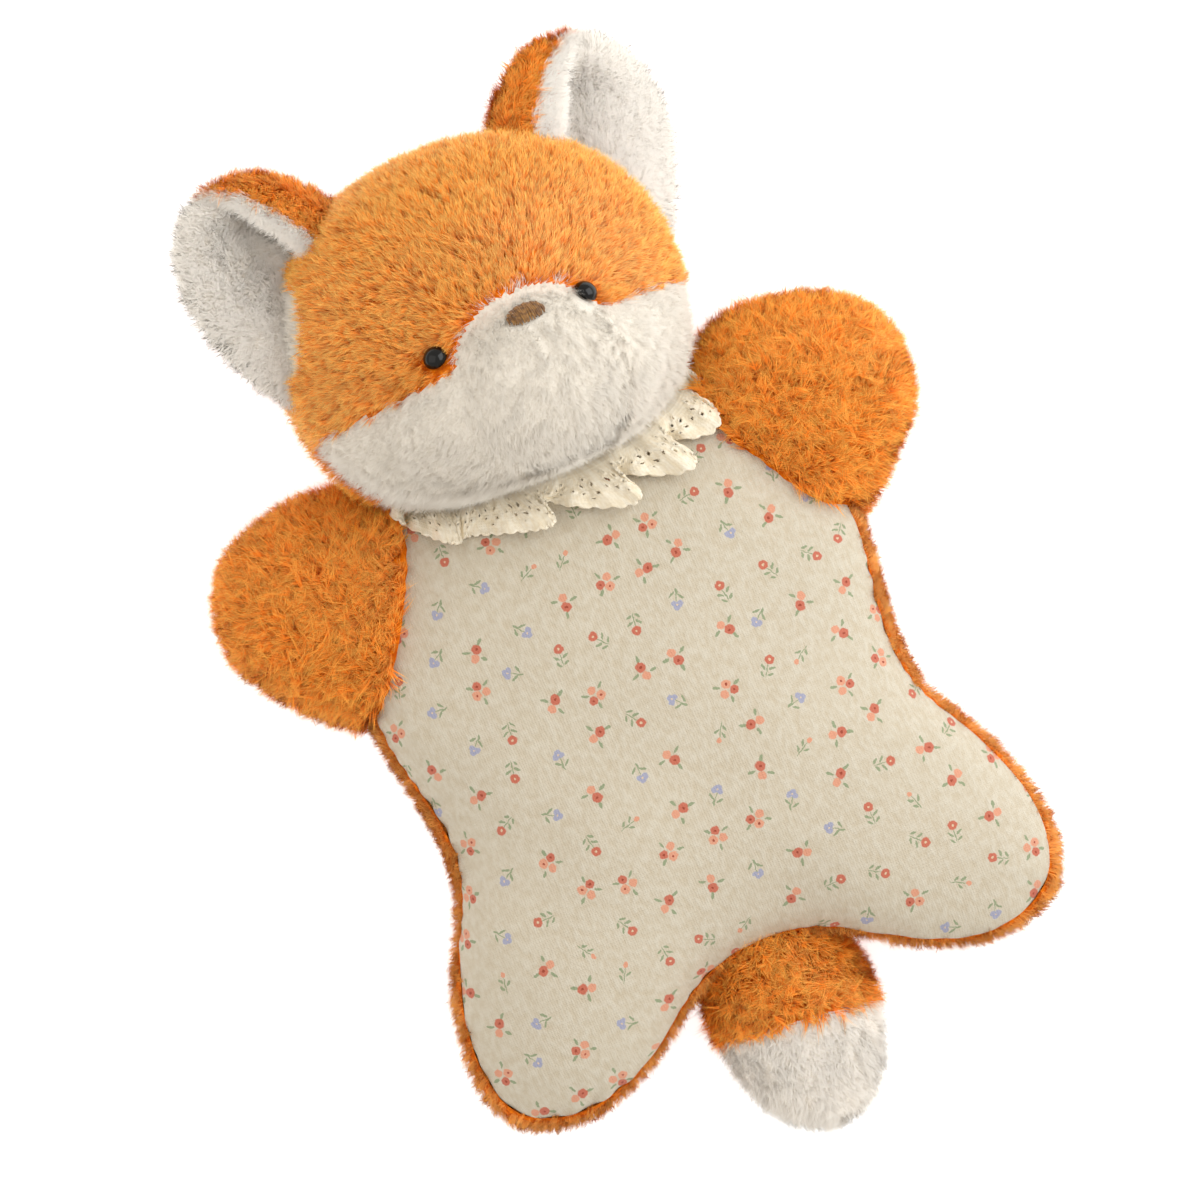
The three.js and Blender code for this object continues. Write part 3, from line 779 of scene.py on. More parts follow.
@dataclass
class Strands:
    """Fibres before they are meshed: a row in each array for each fibre, in millimetres."""

    root: Points
    pull: Points
    up: Points
    along: Points
    side: Points
    across: Points
    length: np.ndarray
    lean: np.ndarray
    bend: np.ndarray
    tone: np.ndarray

    def pick(self, chosen: np.ndarray) -> "Strands":
        """The chosen fibres."""
        return Strands(*(getattr(self, part.name)[chosen] for part in fields(self)))

    def broadside(self) -> Points:
        """Direction that the broad side of each fibre faces: away from the skin and up to the light."""
        return self.up + np.array([0, 0, 1.5]) * np.clip(1 + self.up[:, 2:], 0, 1)

    def mesh(self, joints: int, pile: Pile) -> tuple[Points, Points, np.ndarray, np.ndarray]:
        """Meshes each fibre as a tapering strip that bends over.

        Args:
            joints: number of its segments, the last of which ends in a point.
            pile: how it grows, for how far its shading follows the skin and turns up to the light.

        Returns:
            Its points and normals, its tone and height at each point, and its triangles.
        """
        lift = np.sqrt(1 - self.lean**2)
        toward = self.broadside()
        spines, shades, heights, sides = [], [], [], []
        for joint in range(joints + 1):
            u = joint / joints
            spine = (
                self.root + self.pull * u + self.up * self.length * lift * math.sin(u * math.pi / 2)
                + self.along * self.length * self.lean * u**1.5 + self.side * self.length * self.bend * u**2
            )
            slope = unit(
                self.up * (lift * math.cos(u * math.pi / 2) * 1.5 + 1e-3) + self.along * self.lean * 1.5 * u**0.5
                + self.side * self.bend * 2 * u
            )
            flat = unit(np.cross(slope, self.across))
            flat = np.where(np.sum(flat * toward, 1, keepdims=True) < 0, -flat, flat)
            shade = unit(self.up * pile.softness + flat * (1 - pile.softness) + np.array([0, 0, pile.upward]))
            for edge in (-1, 1) if joint < joints else (0,):
                spines.append(spine + edge * self.across * (1 - u) ** 0.6)
                shades.append(shade)
                heights.append(u * 0.98 + 0.01)
                sides.append(0.003 * edge)
        each, total = len(spines), len(self.root)
        local = [t for a in range(0, each - 3, 2) for t in ((a, a + 2, a + 3), (a, a + 3, a + 1))]
        local.append((each - 3, each - 1, each - 2))
        triangles = (np.arange(total)[:, None, None] * each + np.array(local)[None]).reshape(-1, 3)
        tones = np.clip(self.tone[:, None] + np.array(sides)[None], 0.0, 1.0)
        maps = np.stack([tones, np.broadcast_to(heights, (total, each))], 2)
        points = np.stack(spines, 1).reshape(-1, 3)
        a, b, c = (points[triangles[:, corner]] for corner in range(3))
        away = np.sum(np.cross(b - a, c - a) * np.repeat(toward, len(local), 0), 1) < 0
        triangles[away] = triangles[away, ::-1]
        return points, np.stack(shades, 1).reshape(-1, 3), maps.reshape(-1, 2), triangles


def in_fixed_order(triangles: np.ndarray, points: Points) -> np.ndarray:
    """Triangles in an order that depends on their places alone, so that draws over them repeat in each run."""
    rank = np.argsort(np.lexsort(points.T))
    first = rank[triangles].argmin(1)[:, None]
    triangles = np.take_along_axis(triangles, (first + np.arange(3)) % 3, 1)
    return triangles[np.lexsort(rank[triangles].T)]


def sample_surface(skin: Object, count: int, density: Field, rng: np.random.Generator) -> tuple[Points, Points]:
    """Scatters places over a skin.

    Args:
        skin: the piece to scatter on.
        count: number of places.
        density: relative density over the surface, 0 where nothing grows.
        rng: source of the draws.

    Returns:
        The places and the normals there.
    """
    mesh = skin.data
    mesh.calc_loop_triangles()
    corners = np.empty(len(mesh.loop_triangles) * 3, np.int32)
    mesh.loop_triangles.foreach_get("vertices", corners)
    points, normals = coordinates(skin), vertex_normals(skin)
    corners = in_fixed_order(corners.reshape(-1, 3), points)
    a, b, c = (points[corners[:, i]] for i in range(3))
    weight = np.linalg.norm(np.cross(b - a, c - a), axis=1) * np.maximum(0, density((a + b + c) / 3))
    pick = rng.choice(len(corners), count, p=weight / weight.sum())
    u, v = rng.random((2, count, 1))
    fold = u + v > 1
    u, v = np.where(fold, 1 - u, u), np.where(fold, 1 - v, v)
    chosen = corners[pick]
    places = (1 - u - v) * points[chosen[:, 0]] + u * points[chosen[:, 1]] + v * points[chosen[:, 2]]
    facing = (1 - u - v) * normals[chosen[:, 0]] + u * normals[chosen[:, 1]] + v * normals[chosen[:, 2]]
    return places, unit(facing)


def grow_pile(name: str, skin: Object, pile: Pile, tufts: int, comb: Field, density: Field, seed: int) -> Object:
    """Grows tufts of tapering fibres on a skin, in the skin's own frame.

    Args:
        name: the new piece's name.
        skin: the piece that the pile grows on.
        pile: how it grows.
        tufts: number of tufts.
        comb: direction in which it is combed, at each place.
        density: relative density over the surface.
        seed: seed of all the draws.

    Returns:
        The pile as a piece of its own.
    """
    rng = np.random.default_rng(seed)
    centres, up = sample_surface(skin, tufts, density, rng)
    along = comb(centres) + 1e-4
    along = unit(along - up * np.sum(along * up, 1, keepdims=True))
    side = np.cross(up, along)
    turn = pile.wander * (rng.normal(0, 0.7, tufts) + ripple(centres, 22, seed + 1))
    cos, sin = np.cos(turn)[:, None], np.sin(turn)[:, None]
    along, side = along * cos + side * sin, side * cos - along * sin
    fibres = pile.tuft_fibres
    up, along, side, centres = (np.repeat(v, fibres, 0) for v in (up, along, side, centres))
    total = tufts * fibres
    far = pile.tuft_radius * np.sqrt(rng.random((total, 1)))
    spin = rng.uniform(0, 2 * math.pi, (total, 1))
    offset = far * (np.cos(spin) * along + np.sin(spin) * side)
    length = pile.length * np.repeat(rng.uniform(0.72, 1.22, tufts), fibres) * rng.uniform(0.82, 1.12, total)
    short = rng.random(total) < pile.under
    length = np.where(short, 0.72 * length, length)[:, None]
    gather = np.where(short, 0.0, pile.gather)[:, None]
    bend = np.repeat(rng.normal(0, pile.curl, tufts), fibres)[:, None] + rng.normal(0, 0.12, (total, 1))
    lean = np.clip(pile.lean + rng.normal(0, 0.1, (total, 1)), 0.25, 0.92)
    tone = np.clip(np.repeat(rng.random(tufts), fibres) * 0.6 + rng.random(total) * 0.4, 0.004, 0.996)
    facing = along * lean + up * np.sqrt(1 - lean**2) + side * bend * 0.6
    across = unit(np.cross(up, facing)) * pile.width / 2 * rng.uniform(0.7, 1.3, (total, 1))
    strands = Strands(
        centres + offset - up * pile.buried, -offset * gather, up, along, side, across, length, lean, bend, tone
    )
    batches = [strands.pick(short).mesh(1, pile), strands.pick(~short).mesh(pile.joints, pile)]
    points, normals, maps = (np.concatenate([batch[part] for batch in batches]) for part in range(3))
    triangles = np.concatenate([batches[0][3], batches[1][3] + len(batches[0][0])])
    piece = loose_mesh(name, points, triangles)
    lay_map(piece, FIBRE_MAP, maps)
    shade_smooth(piece)
    piece.data.normals_split_custom_set_from_vertices(normals)
    return piece


def keep_above_floor(piece: Object, height: float, spread: float = 0.0) -> None:
    """Presses flat what would reach through the floor.

    Args:
        piece: the piece, in the row frame.
        height: least height, in metres.
        spread: how much more some of its points keep, in metres.
    """
    points = coordinates(piece)
    scatter = np.mod(np.sin(points[:, 0] * 12989.8 + points[:, 1] * 78233.0) * 43758.5, 1.0)
    points[:, 2] = np.maximum(points[:, 2], height + spread * scatter)
    move_vertices(piece, points)


def declare(piece: Object, material: Material, body: str | None, nodes: Iterable[str]) -> None:
    """Gives a finished piece its material, hangs it on its body, hides the nodes that it stands for and logs its face
    count.

    Args:
        piece: the piece, in the row frame.
        material: its material.
        body: the body that it rides on, if it doesn't bend between two.
        nodes: the nodes that it stands for.
    """
    piece.data.materials.clear()
    piece.data.materials.append(material)
    if body:
        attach(piece, body)
    if nodes:
        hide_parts(*nodes)
    log.info("%s: %d faces", piece.name, len(piece.data.polygons))


@dataclass(frozen=True)
class Plush:
    """How the skins and the pile of a stuffed part are set down and declared."""

    place: Matrix
    fill: float = 0.75
    body: str | None = None
    skin_floor: float = 0.0016
    pile_floor: float = 0.0002
    pile_spread: float = 0.0012

    def dress(self, skin: Object, finish: PileFinish, nodes: Iterable[str]) -> None:
        """Sets down a skin that stands for some nodes."""
        settle(skin, self.place)
        keep_above_floor(skin, self.skin_floor)
        declare(skin, finish.backing(), self.body, nodes)

    def cover(self, pile: Object, finish: PileFinish) -> None:
        """Sets down a pile."""
        settle(pile, self.place)
        keep_above_floor(pile, self.pile_floor, self.pile_spread)
        declare(pile, finish.fibres(), self.body, ())


def inside_share(points: Points, half: tuple[float, float, float], fullness: tuple[float, float]) -> np.ndarray:
    """How deep points lie in a superellipsoid about the origin: under 1 is inside."""
    flat = (np.abs(points[:, 0] / half[0]) ** fullness[0] + np.abs(points[:, 1] / half[1]) ** fullness[0])
    return (flat ** (fullness[1] / fullness[0]) + np.abs(points[:, 2] / half[2]) ** fullness[1]) ** (1 / fullness[1])


JOINTS = {joint["name"]: joint for joint in frame["joints"]}


def joint_place(name: str) -> Vector:
    """Pivot of a joint, in millimetres."""
    return Vector(JOINTS[name]["pos_m"]) / MM


HEAD_TURN = math.radians(15)
HEAD_CENTRE = joint_place("head_turn")
HEAD_PLACE = Matrix.Translation(HEAD_CENTRE) @ Matrix.Rotation(HEAD_TURN, 4, "Y")


def radial_comb(x: float, y: float, z: float = 0.0) -> Field:
    """Comb that runs away from a point."""
    return lambda points: points - np.array([x, y, z])


def along_comb(x: float, y: float, z: float) -> Field:
    """Comb that runs one way all over."""
    return lambda points: np.broadcast_to(np.array([x, y, z], float), points.shape).copy()


def strip(piece: Object, keep: Callable[[Points], np.ndarray]) -> None:
    """Deletes the faces whose middles aren't kept."""
    drop_faces(piece, ~keep(np.array([p.center for p in piece.data.polygons])))


def drop_faces(piece: Object, drop: np.ndarray) -> None:
    """Deletes the marked faces."""
    activate(piece)
    bpy.ops.object.mode_set(mode="EDIT")
    bpy.ops.mesh.select_mode(type="FACE")
    bpy.ops.mesh.select_all(action="DESELECT")
    bpy.ops.object.mode_set(mode="OBJECT")
    piece.data.polygons.foreach_set("select", drop)
    bpy.ops.object.mode_set(mode="EDIT")
    bpy.ops.mesh.delete(type="FACE")
    bpy.ops.object.mode_set(mode="OBJECT")


def cut_plane(piece: Object, point: tuple[float, float, float], normal: tuple[float, float, float]) -> None:
    """Adds an edge all round a piece where a plane meets it."""
    edit(piece, bpy.ops.mesh.bisect, plane_co=point, plane_no=normal)


def copy_piece(piece: Object, name: str) -> Object:
    """A copy of a piece with its own mesh."""
    twin = piece.copy()
    twin.data = piece.data.copy()
    twin.name = twin.data.name = name
    bpy.context.scene.collection.objects.link(twin)
    return twin


BODY_SHARES = np.array([
    [0.31, 0.98], [0.53, 0.89], [0.7, 0.69], [0.84, 0.4], [0.79, 0.03], [0.81, -0.2], [0.94, -0.45],
    [1, -0.72], [0.95, -0.92], [0.79, -1], [0.62, -0.99], [0.46, -0.92], [0.22, -0.77],
])


def body_outline(half_width: float, neck: float, legs: float) -> Points:
    """Outline of the body and legs, anticlockwise."""
    right = BODY_SHARES * np.where(BODY_SHARES[:, 1:] > 0, [[half_width, neck]], [[half_width, legs]])
    crotch, top = np.array([[0, -0.73 * legs]]), np.array([[0, neck]])
    return smooth_line(np.concatenate([crotch, right[::-1], top, right * [[-1, 1]]]))


@dataclass
class Torso:
    """Body and legs: a printed cotton front sewn to a plush back, and the pile of the back."""

    half_width: float = 126.0
    neck_length: float = 140.0
    leg_length: float = 127.0
    seam_height: float = 48.5
    base: float = 39.5
    voxel: float = 6.6
    swell: float = 5.0
    pressure: float = 4.0
    steps: int = 20
    seam_hold: float = 4.5
    floor_hold: float = 2.5
    neck_hold: float = 112.0
    socket_half: tuple[float, float, float] = (82.4, 62.0, 68.4)
    socket_clearance: float = 1.03
    fill: float = 0.7
    form: Form = field(init=False)
    front_piece: Object = field(init=False)

    def __post_init__(self) -> None:
        """Works out the form."""
        outline = body_outline(self.half_width, self.neck_length, self.leg_length)
        place = Matrix.Translation((0, 0, self.base))
        self.form = Form(outline, 35.0, 40.0, 2.3, 4.0, floor=-self.base, place=place)

    @property
    def seam(self) -> float:
        """Height of the seam between cotton and plush, in the form's frame."""
        return self.seam_height - self.base

    def neck_depth(self, points: Points) -> np.ndarray:
        """How deep points of the form lie in the space that the head turns in: under 1 is inside."""
        centre = np.array(HEAD_CENTRE) - [0, 0, self.base]
        return inside_share((points - centre)[:, [0, 2, 1]], self.socket_half, (3.2, 2.7))

    def socket(self, points: Points) -> Points:
        """Presses points out of the space that the head turns in."""
        centre = np.array(HEAD_CENTRE) - [0, 0, self.base]
        depth = self.neck_depth(points)[:, None]
        pushed = centre + (points - centre) / np.maximum(depth, 0.35)
        return np.where(depth < 1, pushed, points)

    def covers(self, row: Points, margin: float = 0.0) -> np.ndarray:
        """Whether points of the row frame lie in the body, or less than a margin above its front."""
        share = self.form.share(row)
        return (share < 1) & (row[:, 2] < self.base + self.form.rise(np.clip(share, 0, 1)) + margin)

    def inflate(self, piece: Object) -> None:
        """Swells the body like a stuffed cushion, with its seam, its flat back and its neck held."""
        before = coordinates(piece)
        share = self.form.share(before)
        held = (np.abs(before[:, 2] - self.seam) < self.seam_hold) & (share > 0.8)
        held |= (before[:, 2] < -self.base + self.floor_hold) | (before[:, 1] > self.neck_hold)
        group = piece.vertex_groups.new(name="held")
        group.add(np.flatnonzero(held).tolist(), 1.0, "REPLACE")
        piece.data.transform(Matrix.Scale(MM, 4))
        activate(piece)
        cloth = piece.modifiers.new("Cloth", "CLOTH")
        cloth.settings.quality = 4
        cloth.settings.use_pressure = True
        cloth.settings.uniform_pressure_force = self.pressure
        cloth.settings.vertex_group_mass = group.name
        cloth.settings.effector_weights.gravity = 0.0
        cloth.point_cache.frame_start, cloth.point_cache.frame_end = 1, self.steps
        for step in range(1, self.steps + 1):
            bpy.context.scene.frame_set(step)
        bpy.ops.object.modifier_apply(modifier=cloth.name)
        bpy.context.scene.frame_set(1)
        shift = coordinates(piece) / MM - before
        far = np.linalg.norm(shift, axis=1, keepdims=True)
        move_vertices(piece, before + shift * np.minimum(1, self.swell / np.maximum(far, 1e-6)))

    def build(self) -> None:
        """Makes the body's pieces."""
        whole = self.form.skin("body_whole", 176, 64)
        move_vertices(whole, self.socket(coordinates(whole)))
        apply_modifier(whole, "REMESH", mode="VOXEL", voxel_size=self.voxel)
        apply_modifier(whole, "SMOOTH", factor=0.5, iterations=2)
        self.inflate(whole)
        points = coordinates(whole)
        points[:, 2] = np.maximum(points[:, 2], -self.base)
        move_vertices(whole, points)
        cut_plane(whole, (0, 0, self.seam), (0, 0, 1))
        self.front_piece = copy_piece(whole, "body_front")
        strip(self.front_piece, lambda centres: centres[:, 2] > self.seam)
        strip(whole, lambda centres: centres[:, 2] < self.seam)
        whole.name = whole.data.name = "body_back"
        self.dress_front(self.front_piece)
        self.dress_back(whole)

    def cut_map(self, piece: Object) -> None:
        """Lays the cloth out flat about its middle, by its length along the surface."""
        points = coordinates(piece)
        turn = np.arctan2(points[:, 1], points[:, 0])
        reach = self.form.reach(turn)
        share = np.clip(np.hypot(points[:, 0], points[:, 1]) / reach, 0, 1)
        steps = np.linspace(0, 1, 33)
        length = np.zeros(len(points))
        for a, b in zip(steps[:-1], steps[1:]):
            low, high = np.clip(share, a, b), np.full(len(share), a)
            length += np.hypot((low - high) * reach, self.form.rise(high) - self.form.rise(low))
        flat = np.stack([length * np.cos(turn), length * np.sin(turn)], 1) * MM
        lay_map(piece, CUT_MAP, flat)

    def pleats(self, points: Points) -> np.ndarray:
        """Height of the gathers under the collar, which fan out most on the viewer's right."""
        away = points[:, :2] - np.array(HEAD_CENTRE)[:2]
        turn = np.arctan2(away[:, 0], -away[:, 1])
        below = np.maximum(0, np.hypot(*away.T) - 84)
        right = smoothstep(turn, 0.15, 0.6)
        wander = 1.3 * ripple(points, 55, 5)
        fan = np.sin(turn * 40 + wander) + 0.5 * np.sin(turn * 23 + 2 * wander)
        uneven = 0.6 + 0.4 * ripple(points, 40, 6)
        return fan * uneven * (0.6 + 1.0 * right) * np.exp(-below / (10 + 22 * right))

    def puckers(self, points: Points) -> np.ndarray:
        """Height of the small tucks along the seam."""
        edge = smoothstep(self.form.share(points), 0.8, 0.99)
        turn = np.arctan2(points[:, 1], points[:, 0])
        tuck = np.sin(turn * 78 + 2.6 * ripple(points, 45, 8))
        return 0.5 * edge * tuck * (0.5 + 0.5 * ripple(points, 60, 9))

    def dress_front(self, piece: Object) -> None:
        """The printed cotton front, gathered at the neck and puckered along its seam."""
        apply_modifier(piece, "SUBSURF", levels=2, render_levels=2)
        points, normals = coordinates(piece), vertex_normals(piece)
        height = self.pleats(points) + self.puckers(points) + 0.6 * ripple(points, 60, 10)
        move_vertices(piece, points + normals * height[:, None])
        self.cut_map(piece)
        apply_modifier(piece, "SOLIDIFY", thickness=1.2, offset=-1.0)
        settle(piece, self.form.place)
        shade_smooth(piece)
        declare(piece, cotton_material(), "torso", ["front_panel"])

    def dress_back(self, piece: Object) -> None:
        """The plush back and its pile."""
        plush = Plush(self.form.place, self.fill, "torso")
        apply_modifier(piece, "SUBSURF", levels=1, render_levels=1)

        def sides(points: Points) -> np.ndarray:
            """Density of the pile on the sides, thickest by the seam."""
            clear = self.neck_depth(points) > self.socket_clearance
            return clear * smoothstep(points[:, 2], 6 - self.base, 14 - self.base) * (
                0.2 + smoothstep(points[:, 2], -18, -4)
            )

        def outwards(points: Points) -> Points:
            """Outwards and up to the seam."""
            return points * [1, 1, 0] + [0, 0, 45]

        for part, low in (("legs", True), ("sides", False)):
            pile = grow_pile(
                f"body_back_pile_{part}", piece, BORDER, 4200, outwards,
                lambda points, low=low: sides(points) * ((points[:, 1] < -20) == low), 11 + low,
            )
            # The border takes the lighter copy of the orange plush, painted light.
            plush.cover(pile, LIT_EDGE)
        pressed = grow_pile(
            "body_back_pile_under", piece, PRESSED, 1700, along_comb(0, -1, 0),
            lambda points: (points[:, 2] < 12 - self.base) * (self.neck_depth(points) > self.socket_clearance), 13,
        )
        plush.cover(pressed, ORANGE)
        plush.dress(piece, ORANGE, ["back_panel", "body_stuffing"])


@dataclass
class Collar:
    """Ruffled eyelet lace under the chin, laid in folds that tighten to the viewer's right."""

    width: float = 23.0
    flat_length: float = 300.0
    thickness: float = 1.6
    slack: float = 0.35
    pitch: float = 0.6
    folds: tuple[float, ...] = (0.0, 0.075, 0.29, 0.545, 0.72, 0.865, 1.0)
    overlap: tuple[float, float] = (0.9, 1.5)
    height: float = 9.0
    draw: float = 0.5
    inner: Points = field(default_factory=lambda: np.array([
        [-58, 139], [-54, 131], [-32, 124], [-2, 118], [24, 118], [47, 124], [60, 131], [62, 139],
    ]))
    outer: Points = field(default_factory=lambda: np.array([
        [-65, 125], [-57, 114], [-43, 103], [-17, 97], [10, 90.5], [45, 92], [67, 101], [73, 121],
    ]))

    def build(self, torso: Torso) -> None:
        """Makes the lace."""
        columns, rows = int(self.flat_length / self.pitch), int(self.width / self.pitch)
        piece = primitive("grid", "lace_collar_ruffle", x_subdivisions=columns, y_subdivisions=rows, size=2.0)
        grid = coordinates(piece)
        flat = np.stack([(grid[:, 0] + 1) / 2 * self.flat_length, (1 - grid[:, 1]) / 2 * self.width], 1)
        move_vertices(piece, np.column_stack([flat, np.zeros(len(flat))]))
        strip(piece, lambda centres: self.eyelet_depth(centres) > 0)
        flat = coordinates(piece)[:, :2]
        lay_map(piece, CUT_MAP, flat * MM)
        edge = piece.vertex_groups.new(name="rim")
        raised = np.maximum(smoothstep(flat[:, 1], self.width - 1.6, self.width - 0.9), self.stitching(flat))
        for level in np.unique(np.round(raised, 1)):
            edge.add(np.flatnonzero(np.round(raised, 1) == level).tolist(), float(level), "REPLACE")
        move_vertices(piece, self.ruffle(flat, torso))
        apply_modifier(
            piece, "SOLIDIFY", thickness=self.thickness, offset=0.0, vertex_group=edge.name,
            thickness_vertex_group=self.slack,
        )
        settle(piece, Matrix())
        shade_smooth(piece)
        declare(piece, lace_material(), "torso", ["lace_collar"])

    def eyelet_depth(self, spots: Points) -> np.ndarray:
        """Distance of each spot of the flat lace from the nearest eyelet, below 0 inside one."""
        repeat = 13.0
        local = np.mod(spots[:, 0], repeat) - repeat / 2
        depth = np.full(len(spots), 9.0)
        for x, y, half_length, half_width, slant in (
            (-2.4, 12.4, 0.95, 0.6, 35), (2.4, 12.4, 0.95, 0.6, -35), (-2.4, 16.2, 0.9, 0.55, -35),
            (2.4, 16.2, 0.9, 0.55, 35), (0, 9.6, 0.6, 0.5, 0), (-6.2, 14.4, 0.6, 0.55, 0), (0, 19.2, 0.5, 0.45, 0),
        ):
            angle = math.radians(slant)
            across, up = local - x, spots[:, 1] - y
            u = (across * math.cos(angle) + up * math.sin(angle)) / half_length
            v = (up * math.cos(angle) - across * math.sin(angle)) / half_width
            depth = np.minimum(depth, (np.hypot(u, v) - 1) * half_width)
        return depth

    def stitching(self, spots: Points) -> np.ndarray:
        """1 on the raised stitches round the eyelets, 0 on plain cloth."""
        depth = self.eyelet_depth(spots)
        return smoothstep(0.9 - depth, 0.0, 0.5)

    def ruffle(self, flat: Points, torso: Torso) -> Points:
        """Gathers the flat lace round the front of the neck.

        Args:
            flat: places on the flat lace.
            torso: the body that it lies on.

        Returns:
            Places in the row frame, in millimetres.
        """
        share, out = flat[:, 0] / self.flat_length, flat[:, 1] / self.width
        inner, outer = (resample(line, 400) for line in (self.inner, self.outer))
        knots = np.array(self.folds)
        fold = np.interp(share, knots, np.arange(len(knots)))
        turn = 2 * math.pi * fold
        advance = np.diff(knots)[np.minimum(fold.astype(int), len(knots) - 2)] / (2 * math.pi)
        fan = smoothstep(out, 0.1, 1.0)
        low, high = self.overlap
        along = share + (low + (high - low) * smoothstep(share, 0.2, 0.55)) * fan * advance * np.sin(turn)
        stand = (1 + np.sin(turn)) / 2
        scallop = 0.05 * np.abs(np.sin(flat[:, 0] * math.pi / 4.6)) * smoothstep(out, 0.85, 1.0)
        drawn = (1 - np.cos(turn - math.radians(60))) / 2
        reach = (out + scallop) * (1 - self.draw * fan * drawn * smoothstep(share, 0.1, 0.5))
        spot = at_share(inner, along) * (1 - reach[:, None]) + at_share(outer, along) * reach[:, None]
        ground = ground_height(torso.front_piece, spot)
        rope = 0.25 * np.sin(flat[:, 0] * 2 * math.pi / 2.3) * smoothstep(out, 0.93, 0.97)
        flutes = 0.8 * fan * (np.sin(flat[:, 0] * 2 * math.pi / 17) + np.sin(flat[:, 0] * 2 * math.pi / 11 + 1))
        rise = self.height * fan * stand + 2.5 * (1 - out) * smoothstep(out, 0.0, 0.3) + flutes
        return np.column_stack([spot, ground + 1.4 + rise + rope])


def resample(line: Points, count: int) -> Points:
    """Evenly spaced points on an open smooth line."""
    padded = np.concatenate([[2 * line[0] - line[1]], line, [2 * line[-1] - line[-2]]])
    rows = []
    for p, a, b, q in zip(padded, padded[1:], padded[2:], padded[3:]):
        t = np.linspace(0, 1, 24, endpoint=False)[:, None]
        rows.append(0.5 * (2 * a + (b - p) * t + (2 * p - 5 * a + 4 * b - q) * t**2 + (3 * a - p - 3 * b + q) * t**3))
    dense = np.concatenate([*rows, line[-1:]])
    length = np.concatenate([[0], np.hypot(*np.diff(dense, axis=0).T).cumsum()])
    even = np.linspace(0, length[-1], count)
    return np.stack([np.interp(even, length, dense[:, axis]) for axis in range(2)], 1)


def at_share(line: Points, share: np.ndarray) -> Points:
    """Points at shares of an evenly spaced line's length, carried on straight past its ends."""
    place = np.clip(share, 0, 1) * (len(line) - 1)
    steps = np.arange(len(line))
    spot = np.stack([np.interp(place, steps, line[:, axis]) for axis in range(2)], 1)
    beyond = (share - np.clip(share, 0, 1))[:, None] * len(line)
    return spot + beyond * np.where(share[:, None] < 0.5, line[1] - line[0], line[-1] - line[-2])


def ground_height(piece: Object, spots: Points) -> np.ndarray:
    """Height of a piece's top at each spot, in millimetres."""
    tree = BVHTree.FromPolygons([v.co for v in piece.data.vertices], [p.vertices for p in piece.data.polygons])
    down = Vector((0, 0, -1))
    heights = []
    for x, y in spots * MM:
        hit = tree.ray_cast(Vector((x, y, 1.0)), down)[0]
        heights.append(hit.z if hit else np.nan)
    found = np.array(heights) / MM
    return np.where(np.isnan(found), np.nanmin(found), found)


